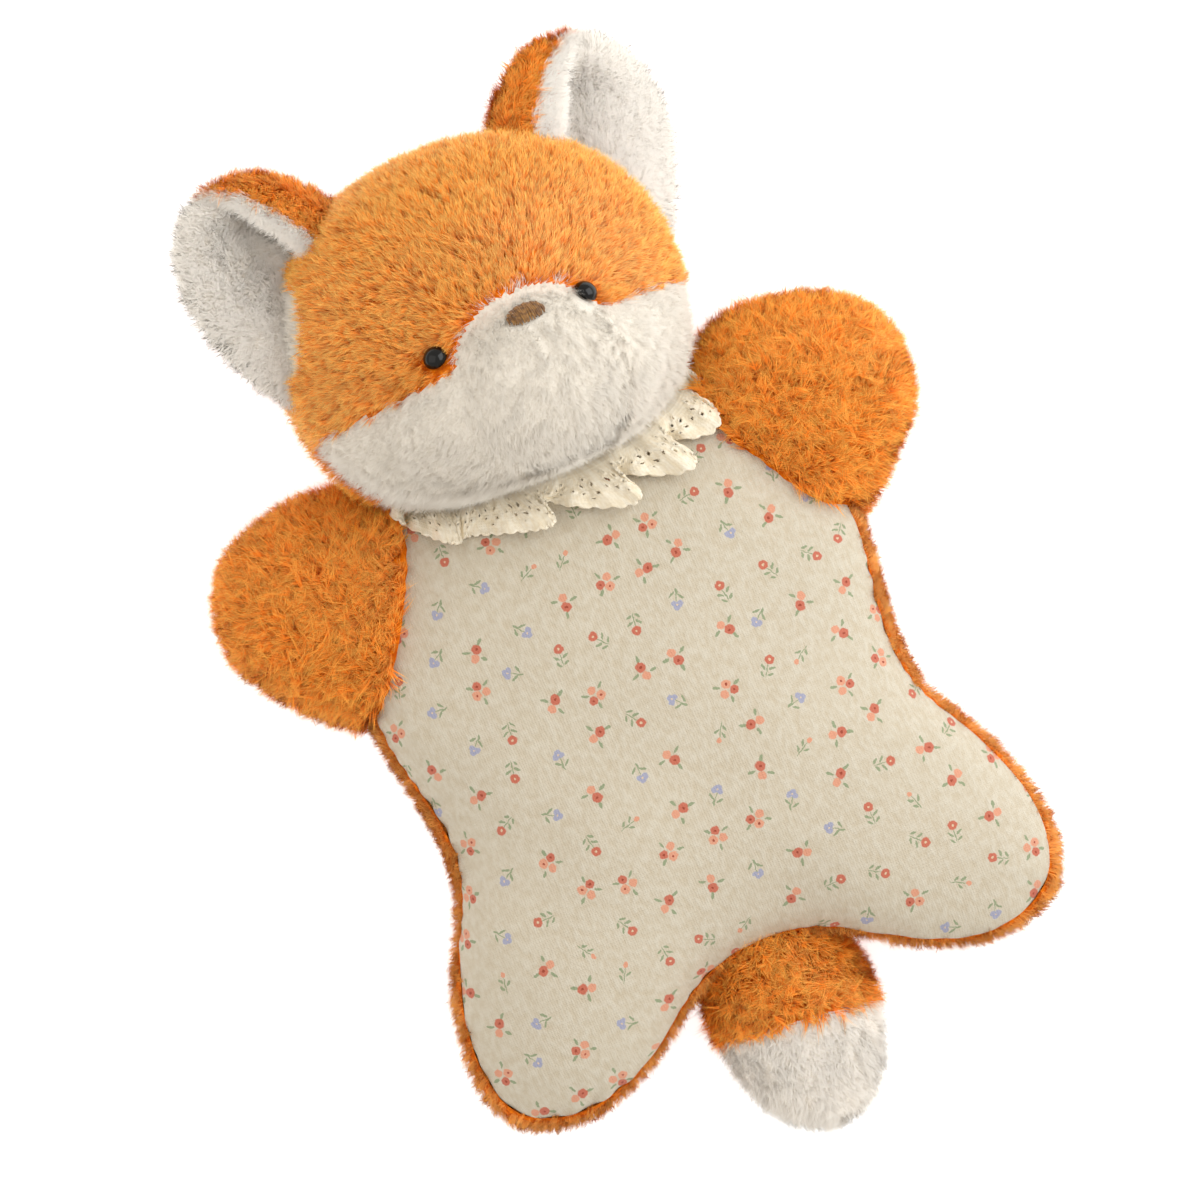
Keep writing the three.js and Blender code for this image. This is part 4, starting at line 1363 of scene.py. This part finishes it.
@dataclass
class Head:
    """Head with its mask, muzzle, eyes and nose."""

    half_width: float = 81.0
    half_length: float = 67.0
    half_depth: float = 55.0
    mask_side: float = -21.0
    mask_middle: float = -16.5
    eye_x: float = 32.2
    eye_y: float = -10.0
    eye_shift: float = 4.7
    eye_radius: float = 5.0
    eye_height: float = 4.5
    shank_radius: float = 2.0
    nose: tuple[float, float] = (-1.0, -8.0)
    muzzle_at: tuple[float, float, float] = (0.0, -25.0, 42.0)
    jowls_at: tuple[float, float, float] = (-5.0, -34.0, 38.0)
    bridge_at: tuple[float, float, float] = (0.0, 4.0, 46.0)
    softness: float = 6.0
    form: Form = field(init=False)
    muzzle: Form = field(init=False)
    snout: Form = field(init=False)
    jowls: Form = field(init=False)
    bridge: Form = field(init=False)

    def __post_init__(self) -> None:
        """Works out the forms."""
        outline = oval(self.half_width, self.half_length, 2.1, 2.7)
        self.form = Form(outline, self.half_depth, self.half_depth, 2.4, 2.4, place=HEAD_PLACE)
        place, jowls, bridge = (
            HEAD_PLACE @ Matrix.Translation(spot) for spot in (self.muzzle_at, self.jowls_at, self.bridge_at)
        )
        self.muzzle = Form(oval(33, 27, 2.1), 37, 22, 2.6, 2.0, place=place)
        low = smoothstep(-self.muzzle.outline[:, 1:], -8, 14)
        chin = self.muzzle.outline * (1 + low * [[0.25, 0.7]])
        self.snout = Form(chin, 38, 22, 2.2, 2.0, place=place)
        self.jowls = Form(oval(58, 34, 2.1), 34, 10, 2.0, 2.0, place=jowls)
        self.bridge = Form(oval(34, 38, 2.1), 18, 10, 2.0, 2.0, place=bridge)

    def mask_line(self, points: Points) -> np.ndarray:
        """Where white plush ends on the face, at each point's place across the head."""
        near = np.clip(1 - np.abs(points[:, 0]) / self.half_width, 0, 1)
        return self.mask_side + (self.mask_middle - self.mask_side) * near

    def muzzle_share(self, points: Points) -> np.ndarray:
        """How far out from the muzzle's middle points of the head lie, 1 on its outline."""
        return self.muzzle.share(points[:, :2] - self.muzzle_at[:2])

    def on_mask(self, points: Points, margin: float) -> np.ndarray:
        """Whether points lie on the white mask, widened by a margin."""
        below = points[:, 1] < self.mask_line(points) + margin
        return (below | (self.muzzle_share(points) < 1 + margin / 30)) & (points[:, 2] > -margin)

    def under_chin(self, points: Points, low: float) -> np.ndarray:
        """Whether points lie on the white plush that turns in under the chin, down to a height."""
        return (points[:, 1] < -42) & (points[:, 2] > low) & (points[:, 0] > -63) & (points[:, 0] < 62)

    def under_ear(self, points: Points) -> np.ndarray:
        """Whether points lie where the left ear's lining laps over the side of the head."""
        row = points @ np.array(HEAD_PLACE.to_3x3()).T + np.array(HEAD_CENTRE)
        edge = np.interp(row[:, 1], [186, 204, 220, 239], [-75, -65, -61, -63.5])
        return (row[:, 0] < edge) & (row[:, 1] > 188) & (row[:, 1] < 228) & (points[:, 2] > -17)

    def white_cloth(self, points: Points) -> np.ndarray:
        """Whether the cloth at points is white."""
        mask = self.on_mask(points, 1.0) & (points[:, 2] > 0)
        return mask | self.under_chin(points, -28) | self.under_ear(points)

    def eye_spot(self, side: Side) -> tuple[float, float]:
        """Place of an eye on the face."""
        return side.value * self.eye_x - self.eye_shift, self.eye_y

    def clear_of_eyes(self, points: Points) -> np.ndarray:
        """Whether pile may grow at points beside the eyes."""
        clear = np.ones(len(points), bool)
        for side in Side:
            offset = points[:, :2] - self.eye_spot(side)
            inner = offset @ np.array([-side.value, -0.4]) > 0
            clear &= (np.hypot(*offset.T) > np.where(inner, 6.4, 5.0)) | (points[:, 2] < 0)
        return clear

    def surface(self, spots: Points) -> np.ndarray:
        """Height of the face over each spot, where the muzzle and jowls run softly into the head."""
        height = self.form.rise(np.clip(self.form.share(spots), 0, 1)) / self.softness
        for form in (self.snout, self.jowls, self.bridge):
            base = HEAD_PLACE.inverted() @ form.place.translation
            share = form.share(spots[:, :2] - [base.x, base.y])
            bump = base.z + np.where(share < 1, form.rise(np.minimum(share, 1)), -60 * (share - 1))
            height = np.logaddexp(height, bump / self.softness)
        dimple = np.exp(-((spots[:, 0] / 2.2) ** 2)) * smoothstep(spots[:, 1], -34, -20) * (spots[:, 1] < -12)
        crease = np.exp(-(((spots[:, 0] - 42.5 - 0.32 * (spots[:, 1] + 20)) / 4.5) ** 2))
        crease = crease * smoothstep(spots[:, 1], -58, -44) * (1 - smoothstep(spots[:, 1], -28, -14))
        return height * self.softness - 1.2 * dimple - 1.6 * crease

    def seat(self, x: float, y: float, lift: float) -> Matrix:
        """Frame above the face over a point, with z square to the surface."""
        heights = self.surface(np.array([[x, y], [x - 1, y], [x + 1, y], [x, y - 1], [x, y + 1]]))
        normal = Vector((heights[1] - heights[2], heights[3] - heights[4], 2)).normalized()
        turn = Vector((0, 0, 1)).rotation_difference(normal).to_matrix().to_4x4()
        return HEAD_PLACE @ Matrix.Translation((x, y, heights[0])) @ turn @ Matrix.Translation((0, 0, lift))

    def build(self) -> None:
        """Makes the head's pieces."""
        plush = Plush(self.form.place, body="head")
        skin = self.form.skin("head_skin", 168, 100)
        points = coordinates(skin)
        front = points[:, 2] > 0.5
        points[front, 2] = np.maximum(points[front, 2], self.surface(points[front]))
        move_vertices(skin, points)
        face = copy_piece(skin, "face_skin")
        comb = radial_comb(0, -14, 36)

        def hood(points: Points) -> np.ndarray:
            """Whether orange pile grows at points."""
            bare = self.on_mask(points, 1.6) | self.under_chin(points, -36) | self.under_ear(points)
            return ~bare & self.clear_of_eyes(points)

        def behind(points: Points) -> np.ndarray:
            """Density of the back of the head."""
            row = points @ np.array(HEAD_PLACE.to_3x3())[2] + HEAD_CENTRE.z
            return hood(points) * (points[:, 2] <= -8) * (0.25 + 0.75 * smoothstep(row, 3, 14))

        def white(points: Points) -> np.ndarray:
            """Density of the white pile, none under the nose."""
            nose = np.hypot((points[:, 0] - self.nose[0]) / 7.2, (points[:, 1] - self.nose[1]) / 3.6) < 1
            mask = (self.on_mask(points, 1.4) | self.under_chin(points, -30)) & self.clear_of_eyes(points) & ~nose
            return (mask | self.under_ear(points)) * (1 + 0.6 * smoothstep(-points[:, 1], 30, 62))

        piles = [(grow_pile("head_back_pile", skin, SLEEK, 2300, comb, behind, 23), HOOD, Slot.ORANGE)]
        for side in Side:
            piles.append((grow_pile(
                f"forehead_pile_{side.label}", skin, SLEEK, 8100, comb,
                lambda p, s=side.value: hood(p) * (p[:, 2] > -8) * (p[:, 0] * s >= 0), 21 + side.value,
            ), HOOD, Slot.ORANGE))
            piles.append((grow_pile(
                f"face_pile_{side.label}", face, SHORT, 6950, comb,
                lambda p, s=side.value: white(p) * (p[:, 0] * s >= 0), 26 + side.value,
            ), WHITE, Slot.WHITE))
        for pile, finish, slot in piles:
            plush.cover(pile, finish)
        strip(face, self.white_cloth)
        strip(skin, lambda c: ~self.white_cloth(c))
        plush.dress(face, WHITE, ["cheek_left", "cheek_right", "muzzle", "muzzle_stuffing"])
        plush.dress(skin, ORANGE, ["head_front", "head_back", "head_stuffing"])
        for side in Side:
            self.build_eye(side)
        self.build_nose()

    def build_eye(self, side: Side) -> None:
        """A glossy dome on its shank."""
        radius = self.eye_radius
        piece = primitive("uv_sphere", f"eye_dome_{side.label}", segments=48, ring_count=32, radius=radius)
        ball = coordinates(piece)
        low = ball[:, 2] < 0
        far = np.hypot(ball[:, 0], ball[:, 1])
        ball[~low, 2] *= self.eye_height / radius
        ball[low, 2] = np.where(far[low] > self.shank_radius * 1.05, -0.5 * (1 - (far[low] / radius) ** 6), -12.0)
        move_vertices(piece, ball)
        settle(piece, self.seat(*self.eye_spot(side), 1.6))
        shade_smooth(piece)
        declare(piece, gloss_material(), "head", [f"eye_{side.label}"])

    def build_nose(self) -> None:
        """Satin stitches side by side over a small oval pad."""
        half_width, half_length, lift, threads = 8.0, 4.6, 3.0, 19
        seat = self.seat(*self.nose, 0.8)
        rng = np.random.default_rng(41)
        strand = primitive("cylinder", "strand", vertices=8, radius=0.56, depth=2.0, end_fill_type="NGON")
        for height in np.linspace(-0.875, 0.875, 15):
            cut_plane(strand, (0, 0, height), (0, 0, 1))
        parts = []
        for index in range(threads):
            x = (2 * (index + 0.5) / threads - 1) * half_width
            tall = half_length * (1 - abs(x / half_width) ** 2.6) ** 0.5 * rng.uniform(0.94, 1.08)
            thread = copy_piece(strand, f"stitch_{index}")
            local = coordinates(thread)
            y = local[:, 2] * tall
            dome = lift * np.maximum(0.0, 1 - (x / half_width) ** 2 - (y / (half_length + 0.6)) ** 2) ** 0.5
            taper = 1 - 0.4 * np.abs(local[:, 2]) ** 4
            slant = 0.3 * rng.normal() * local[:, 2]
            level = dome + local[:, 1] * taper - 0.4 + 0.14 * rng.normal()
            move_vertices(thread, np.column_stack([x + local[:, 0] * taper + slant, y, level]))
            parts.append(thread)
        bpy.data.objects.remove(strand)
        activate(parts[0])
        for thread in parts:
            thread.select_set(True)
        bpy.ops.object.join()
        piece = parts[0]
        piece.name = piece.data.name = "nose_stitches"
        edit(piece, bpy.ops.mesh.normals_make_consistent, inside=False)
        settle(piece, seat)
        shade_smooth(piece)
        declare(piece, thread_material(), "head", ["nose"])


@dataclass
class Ear:
    """One cupped ear: a plush back round a white lining that rolls out over the rim."""

    side: Side
    half_width: float = 37.0
    half_depth: float = 18.0
    length: float = 59.0
    root: float = 26.0
    cup_offset: float = 5.0
    outer_edge: float = -100.0
    rim: float = 158.0
    root_x: float = 58.0
    root_y: float = 37.0
    lean: float = 24.0
    back_depth: float = 0.6
    lining_depth: float = 13.5
    cloth: float = 2.6
    pad_share: float = 0.55
    pad_end: float = 4.0
    bulge: float = 4.5
    tip: float = 0.96

    @property
    def brim(self) -> float:
        """Angle round the cup from which the white pile folds over, in degrees."""
        return 140.0 if self.side is Side.RIGHT else 148.0

    @property
    def place(self) -> Matrix:
        """The ear's own frame."""
        spot = Matrix.Translation((self.side.value * self.root_x, self.root_y, 0))
        return HEAD_PLACE @ spot @ Matrix.Rotation(-self.side.value * math.radians(self.lean), 4, "Z")

    def width_at(self, share: np.ndarray) -> np.ndarray:
        """Share of the ear's full width at shares of its length."""
        return np.sqrt(np.maximum(0, 1 - np.abs(share) ** 2.4))

    def cup(self, name: str, depth: float, rim: float, padded: bool) -> Object:
        """One layer of the cup.

        Args:
            name: the piece's name.
            depth: how deep it lies below the ear's outer surface.
            rim: angle round the cup at which it ends, in degrees.
            padded: whether it swells from the bottom of the cup to the outer edge and the tip.

        Returns:
            The piece in the ear's own frame, facing the inside of the cup.
        """
        piece = primitive("grid", name, x_subdivisions=60, y_subdivisions=48, size=2.0)
        grid = coordinates(piece)
        across, up = (grid[:, 0] + 1) / 2, (grid[:, 1] + 1) / 2
        low = -self.root / self.length
        share = low + (0.992 - low) * np.sin(up * math.pi / 2)
        width = self.width_at(share)

        def spot(turn: np.ndarray | float, level: np.ndarray | float) -> np.ndarray:
            """Places across the ear, at an angle round the cup and a depth below its outer surface."""
            x = width * (self.half_width - level) * np.sin(np.radians(turn)) - self.cup_offset
            return np.stack([-self.side.value * x, -width * (self.half_depth - level) * np.cos(np.radians(turn))])

        if padded:
            pad = np.clip(across / self.pad_share, 0, 1)
            past = np.maximum(0, across - self.pad_share) / (1 - self.pad_share)
            root, tip = 1 - smoothstep(share, -0.2, 0.35), smoothstep(share, 0.55, 0.93)
            edge, brim = spot(self.outer_edge, -0.4), spot(rim, 2.0) * [[1.0], [0.55]]
            place = edge * (1 - pad) + spot(self.pad_end + past * (rim - self.pad_end), depth + 5 * root) * pad
            place[1] += width * (self.bulge + 2 * root) * np.sin(math.pi * pad)
            full = edge * (1 - across) + brim * across
            full[1] += width * 8 * np.sin(math.pi * across)
            x, z = place * (1 - tip) + full * tip
        else:
            x, z = spot(self.outer_edge + across * (rim - self.outer_edge), depth)
        move_vertices(piece, np.column_stack([x, share * self.tip * self.length, z]))
        if self.side is Side.RIGHT:
            piece.data.flip_normals()
        return piece

    def clear_of_head(self, points: Points) -> np.ndarray:
        """Whether points of the ear stand clear of the head."""
        matrix = np.array(HEAD_PLACE.inverted() @ self.place)
        local = points @ matrix[:3, :3].T + matrix[:3, 3]
        return inside_share(local, (79, 65, 53), (2.1, 2.4)) > 1

    def turn_at(self, points: Points) -> np.ndarray:
        """Angle round the cup, in degrees from its bottom."""
        across = self.cup_offset - self.side.value * points[:, 0]
        return np.degrees(np.arctan2(across / self.half_width, -points[:, 2] / self.half_depth))

    def build(self) -> None:
        """Makes the ear's pieces."""
        body = f"ear_{self.side.label}"
        plush = Plush(self.place, fill=0.5)
        back = self.cup(f"{body}_back_cloth", self.back_depth, self.rim, False)
        back.data.flip_normals()
        lining = self.cup(f"{body}_lining_cloth", self.lining_depth, self.rim - 8, True)

        def outside(points: Points) -> np.ndarray:
            """Density of the back's orange pile, none by the outer edge or the brim."""
            turn = self.turn_at(points)
            tip = smoothstep(points[:, 1], 0.8 * self.length, 0.9 * self.length)
            return self.clear_of_head(points) * smoothstep(turn, -52 + 50 * tip, -34 + 50 * tip) * (turn < self.brim)

        def folded(points: Points) -> np.ndarray:
            """Density of the white pile on the brim that folds over the cup."""
            return self.clear_of_head(points) * (self.turn_at(points) >= self.brim) * 1.0

        def outwards(points: Points) -> Points:
            """Away from the head on the back, and over the cup towards the brim."""
            over = smoothstep(self.turn_at(points), 105, 140)
            return np.column_stack([self.side.value * (1.7 * over - 0.8), 0.7 - 0.5 * over, 0.3 * np.ones(len(over))])

        def inside(points: Points) -> np.ndarray:
            """Density of the lining's pile, thickest on the rim."""
            return self.clear_of_head(points) * (1 + 0.8 * (1 - smoothstep(self.turn_at(points), -80, -50)))

        for skin, finish, slot, pile, tufts, comb, density in (
            (back, ORANGE, Slot.ORANGE, COMBED, 3000, outwards, outside),
            (lining, FLUFF, Slot.WHITE, FLUFFY, 4400, radial_comb(self.side.value * -8, -12, 0), inside),
        ):
            node = skin.name.removesuffix("_cloth")
            faces = len(skin.data.polygons)
            apply_modifier(skin, "SOLIDIFY", thickness=self.cloth, offset=-1.0)
            shade_smooth(skin)
            shown = copy_piece(skin, f"{node}_shown")
            order, centres = np.arange(len(shown.data.polygons)), np.array([p.center for p in shown.data.polygons])
            share = centres[:, 1] / (self.tip * self.length)
            edge = self.cup_offset + self.width_at(share) * self.half_width - 4
            hidden = (self.side.value * centres[:, 0] < edge) & (share < 0.92) | (skin is back)
            drop_faces(shown, (order >= faces) & (order < 2 * faces) & hidden)
            strands = [grow_pile(f"{node}_pile", shown, pile, tufts, comb, density, 51 + self.side.value)]
            plush.cover(strands[0], finish)
            if skin is back:
                strands.append(grow_pile(f"{body}_brim_pile", shown, FLUFFY, 1200, outwards, folded, 55))
                plush.cover(strands[1], FLUFF)
            bpy.data.objects.remove(shown)
            plush.dress(skin, finish, [node])
            for piece in (*strands, skin):
                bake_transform(piece)


ARM_SHARES = np.array([
    [-0.35, 0], [-0.22, -0.76], [0.03, -0.87], [0.44, -0.76], [0.82, -0.51],
    [1, -0.04], [0.91, 0.46], [0.54, 0.9], [0.19, 1], [-0.22, 0.76],
])


@dataclass
class Arm:
    """One flat stuffed arm."""

    side: Side
    torso: Torso
    length: float = 66.0
    half_width: float = 48.0
    x: float = 84.0
    y: float = 87.0
    z: float = 33.5
    spread: float = 28.4
    lean: float = -4.0
    hinge: float = 25.0

    def build(self) -> None:
        """Makes the arm's pieces."""
        sign = self.side.value
        body = f"arm_{self.side.label}"
        outline = smooth_line(ARM_SHARES * [[sign * self.length, self.half_width]])
        turn = Matrix.Rotation(math.radians(sign * self.spread + self.lean), 4, "Z")
        place = Matrix.Translation((sign * self.x, self.y, self.z)) @ turn
        form = Form(outline, 30, 34, 2.3, 4.0, pole=(sign * 0.33 * self.length, 0.0), floor=-self.z, place=place)
        plush = Plush(place, fill=0.7)
        skin = form.skin(f"{body}_skin", 80, 40)
        matrix = np.array(place)

        def clear(points: Points) -> np.ndarray:
            """Whether points of the arm stand clear of the body."""
            return ~self.torso.covers(points @ matrix[:3, :3].T + matrix[:3, 3], 1.0)

        comb = radial_comb(-sign * 14, -6, 0)
        piles = [
            grow_pile(f"{body}_front_pile", skin, CURLY, 6600, comb, lambda p: clear(p) * (p[:, 2] > -6), 61 + sign),
            grow_pile(
                f"{body}_back_pile", skin, PRESSED, 700, comb, lambda p: clear(p) * (p[:, 2] <= -6) * 1.0, 64 + sign
            ),
        ]
        for pile in piles:
            plush.cover(pile, ORANGE)
        plush.dress(skin, ORANGE, [f"{body}_front", f"{body}_back", f"{body}_stuffing"])
        for piece in (*piles, skin):
            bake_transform(piece)


@dataclass
class Tail:
    """Tail with its white tip."""

    half_width: float = 31.0
    half_length: float = 47.0
    half_depth: float = 26.0
    x: float = 1.5
    y: float = -122.0
    seam: float = -4.0
    slope: float = -0.15

    def build(self) -> None:
        """Makes the tail's pieces."""
        place = Matrix.Translation((self.x, self.y, self.half_depth - 0.5))
        form = Form(
            oval(self.half_width, self.half_length, 2.1), self.half_depth, self.half_depth, 2.0, 4.0,
            floor=0.5 - self.half_depth, place=place,
        )
        plush = Plush(place)
        skin = form.skin("tail_base_skin", 64, 40)
        cut_plane(skin, (0, self.seam, 0), (-self.slope, 1, 0))
        tip = copy_piece(skin, "tail_tip_skin")
        strip(skin, lambda c: c[:, 1] - self.slope * c[:, 0] > self.seam)
        strip(tip, lambda c: c[:, 1] - self.slope * c[:, 0] <= self.seam)

        def thick(points: Points) -> np.ndarray:
            """Thinner where the tail lies on the floor, and none where the body covers it."""
            return (0.25 + 0.75 * smoothstep(points[:, 2], -22, -10)) * (points[:, 1] < 40)

        for part, piece, finish, slot, pile, tufts, nodes in (
            ("base", skin, ORANGE, Slot.ORANGE, CURLY, 3600, ["tail_base", "tail_stuffing"]),
            ("tip", tip, FLUFF, Slot.WHITE, FLUFFY, 3500, ["tail_tip"]),
        ):
            strand = grow_pile(f"tail_{part}_pile", piece, pile, tufts, along_comb(0, -1, 0), thick, 71)
            plush.cover(strand, finish)
            plush.dress(piece, finish, nodes)
            for each in (strand, piece):
                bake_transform(each)


@dataclass(frozen=True)
class Lamp:
    """A soft square light: how far it hangs to the right, up the picture and towards the camera, in metres."""

    name: str
    offset: tuple[float, float, float]
    size: float
    power: float
    colour: Colour


LAMPS = (
    Lamp("key", (0.85, 0.5, 0.8), 1.2, 11.5, (0.97, 0.99, 1.0)),
    Lamp("fill", (-0.9, 0.1, 1.2), 1.6, 5.0, (1.0, 0.97, 0.93)),
)


@dataclass
class Studio:
    """Camera straight above, soft light from the upper right, and a pale floor."""

    roll: float = 24.0
    centre: tuple[float, float] = (-2.5, 60.0)
    span: float = 480.0
    distance: float = 8000.0
    focus_height: float = 45.0

    def build(self) -> None:
        """Makes the camera, the lights and the floor."""
        scene = bpy.context.scene
        scene.view_settings.view_transform = "Standard"
        middle = Vector((*self.centre, self.focus_height)) * MM
        camera = bpy.data.cameras.new("camera")
        camera.sensor_width = 36.0
        camera.lens = camera.sensor_width * self.distance / self.span
        camera.clip_start, camera.clip_end = 0.01, 50.0
        holder = hang("camera", camera)
        turn = math.radians(self.roll)
        right, up = Vector((math.cos(turn), -math.sin(turn), 0)), Vector((math.sin(turn), math.cos(turn), 0))
        axes = Matrix((right, up, Vector((0, 0, 1)))).transposed().to_4x4()
        holder.matrix_world = Matrix.Translation(middle + Vector((0, 0, self.distance * MM))) @ axes
        scene.camera = holder
        for lamp in LAMPS:
            x, y, z = lamp.offset
            self.light(lamp, right * x + up * y + Vector((0, 0, z)), middle)
        world = bpy.data.worlds.new("soft_room")
        world.use_nodes = True
        sky = world.node_tree.nodes["Background"]
        sky.inputs["Color"].default_value = (1.0, 0.96, 0.905, 1.0)
        sky.inputs["Strength"].default_value = 0.77
        scene.world = world
        floor = primitive("plane", "floor", size=8.0, location=(0, 0, -0.0002))
        material, _, _ = new_material(
            "pale_floor", Base_Color=(0.6, 0.6, 0.6, 1.0), Roughness=0.9, Emission_Strength=0.85,
            Emission_Color=(1.0, 1.0, 1.0, 1.0),
        )
        floor.data.materials.append(material)

    def light(self, lamp: Lamp, offset: Vector, aim: Vector) -> None:
        """Hangs a light at an offset from the place that it is turned to."""
        data = bpy.data.lights.new(lamp.name, "AREA")
        data.size, data.energy, data.color = lamp.size, lamp.power, lamp.colour
        holder = hang(lamp.name, data)
        holder.location = aim + offset
        holder.rotation_mode = "QUATERNION"
        holder.rotation_quaternion = (-offset).to_track_quat("-Z", "Y")


def dress_inner_nodes() -> None:
    """Gives the pieces inside the toy their finishes."""
    washer = washer_material()
    for side in Side:
        node = frame["nodes"][f"eye_washer_{side.label}"]
        node.data.materials.clear()
        node.data.materials.append(washer)


def main() -> None:
    """Builds the toy."""
    logging.basicConfig(level=logging.INFO)
    Studio().build()
    Head().build()
    torso = Torso()
    torso.build()
    Collar().build(torso)
    for side in Side:
        Ear(side).build()
        Arm(side, torso).build()
    Tail().build()
    dress_inner_nodes()


if __name__ == "__main__":
    main()
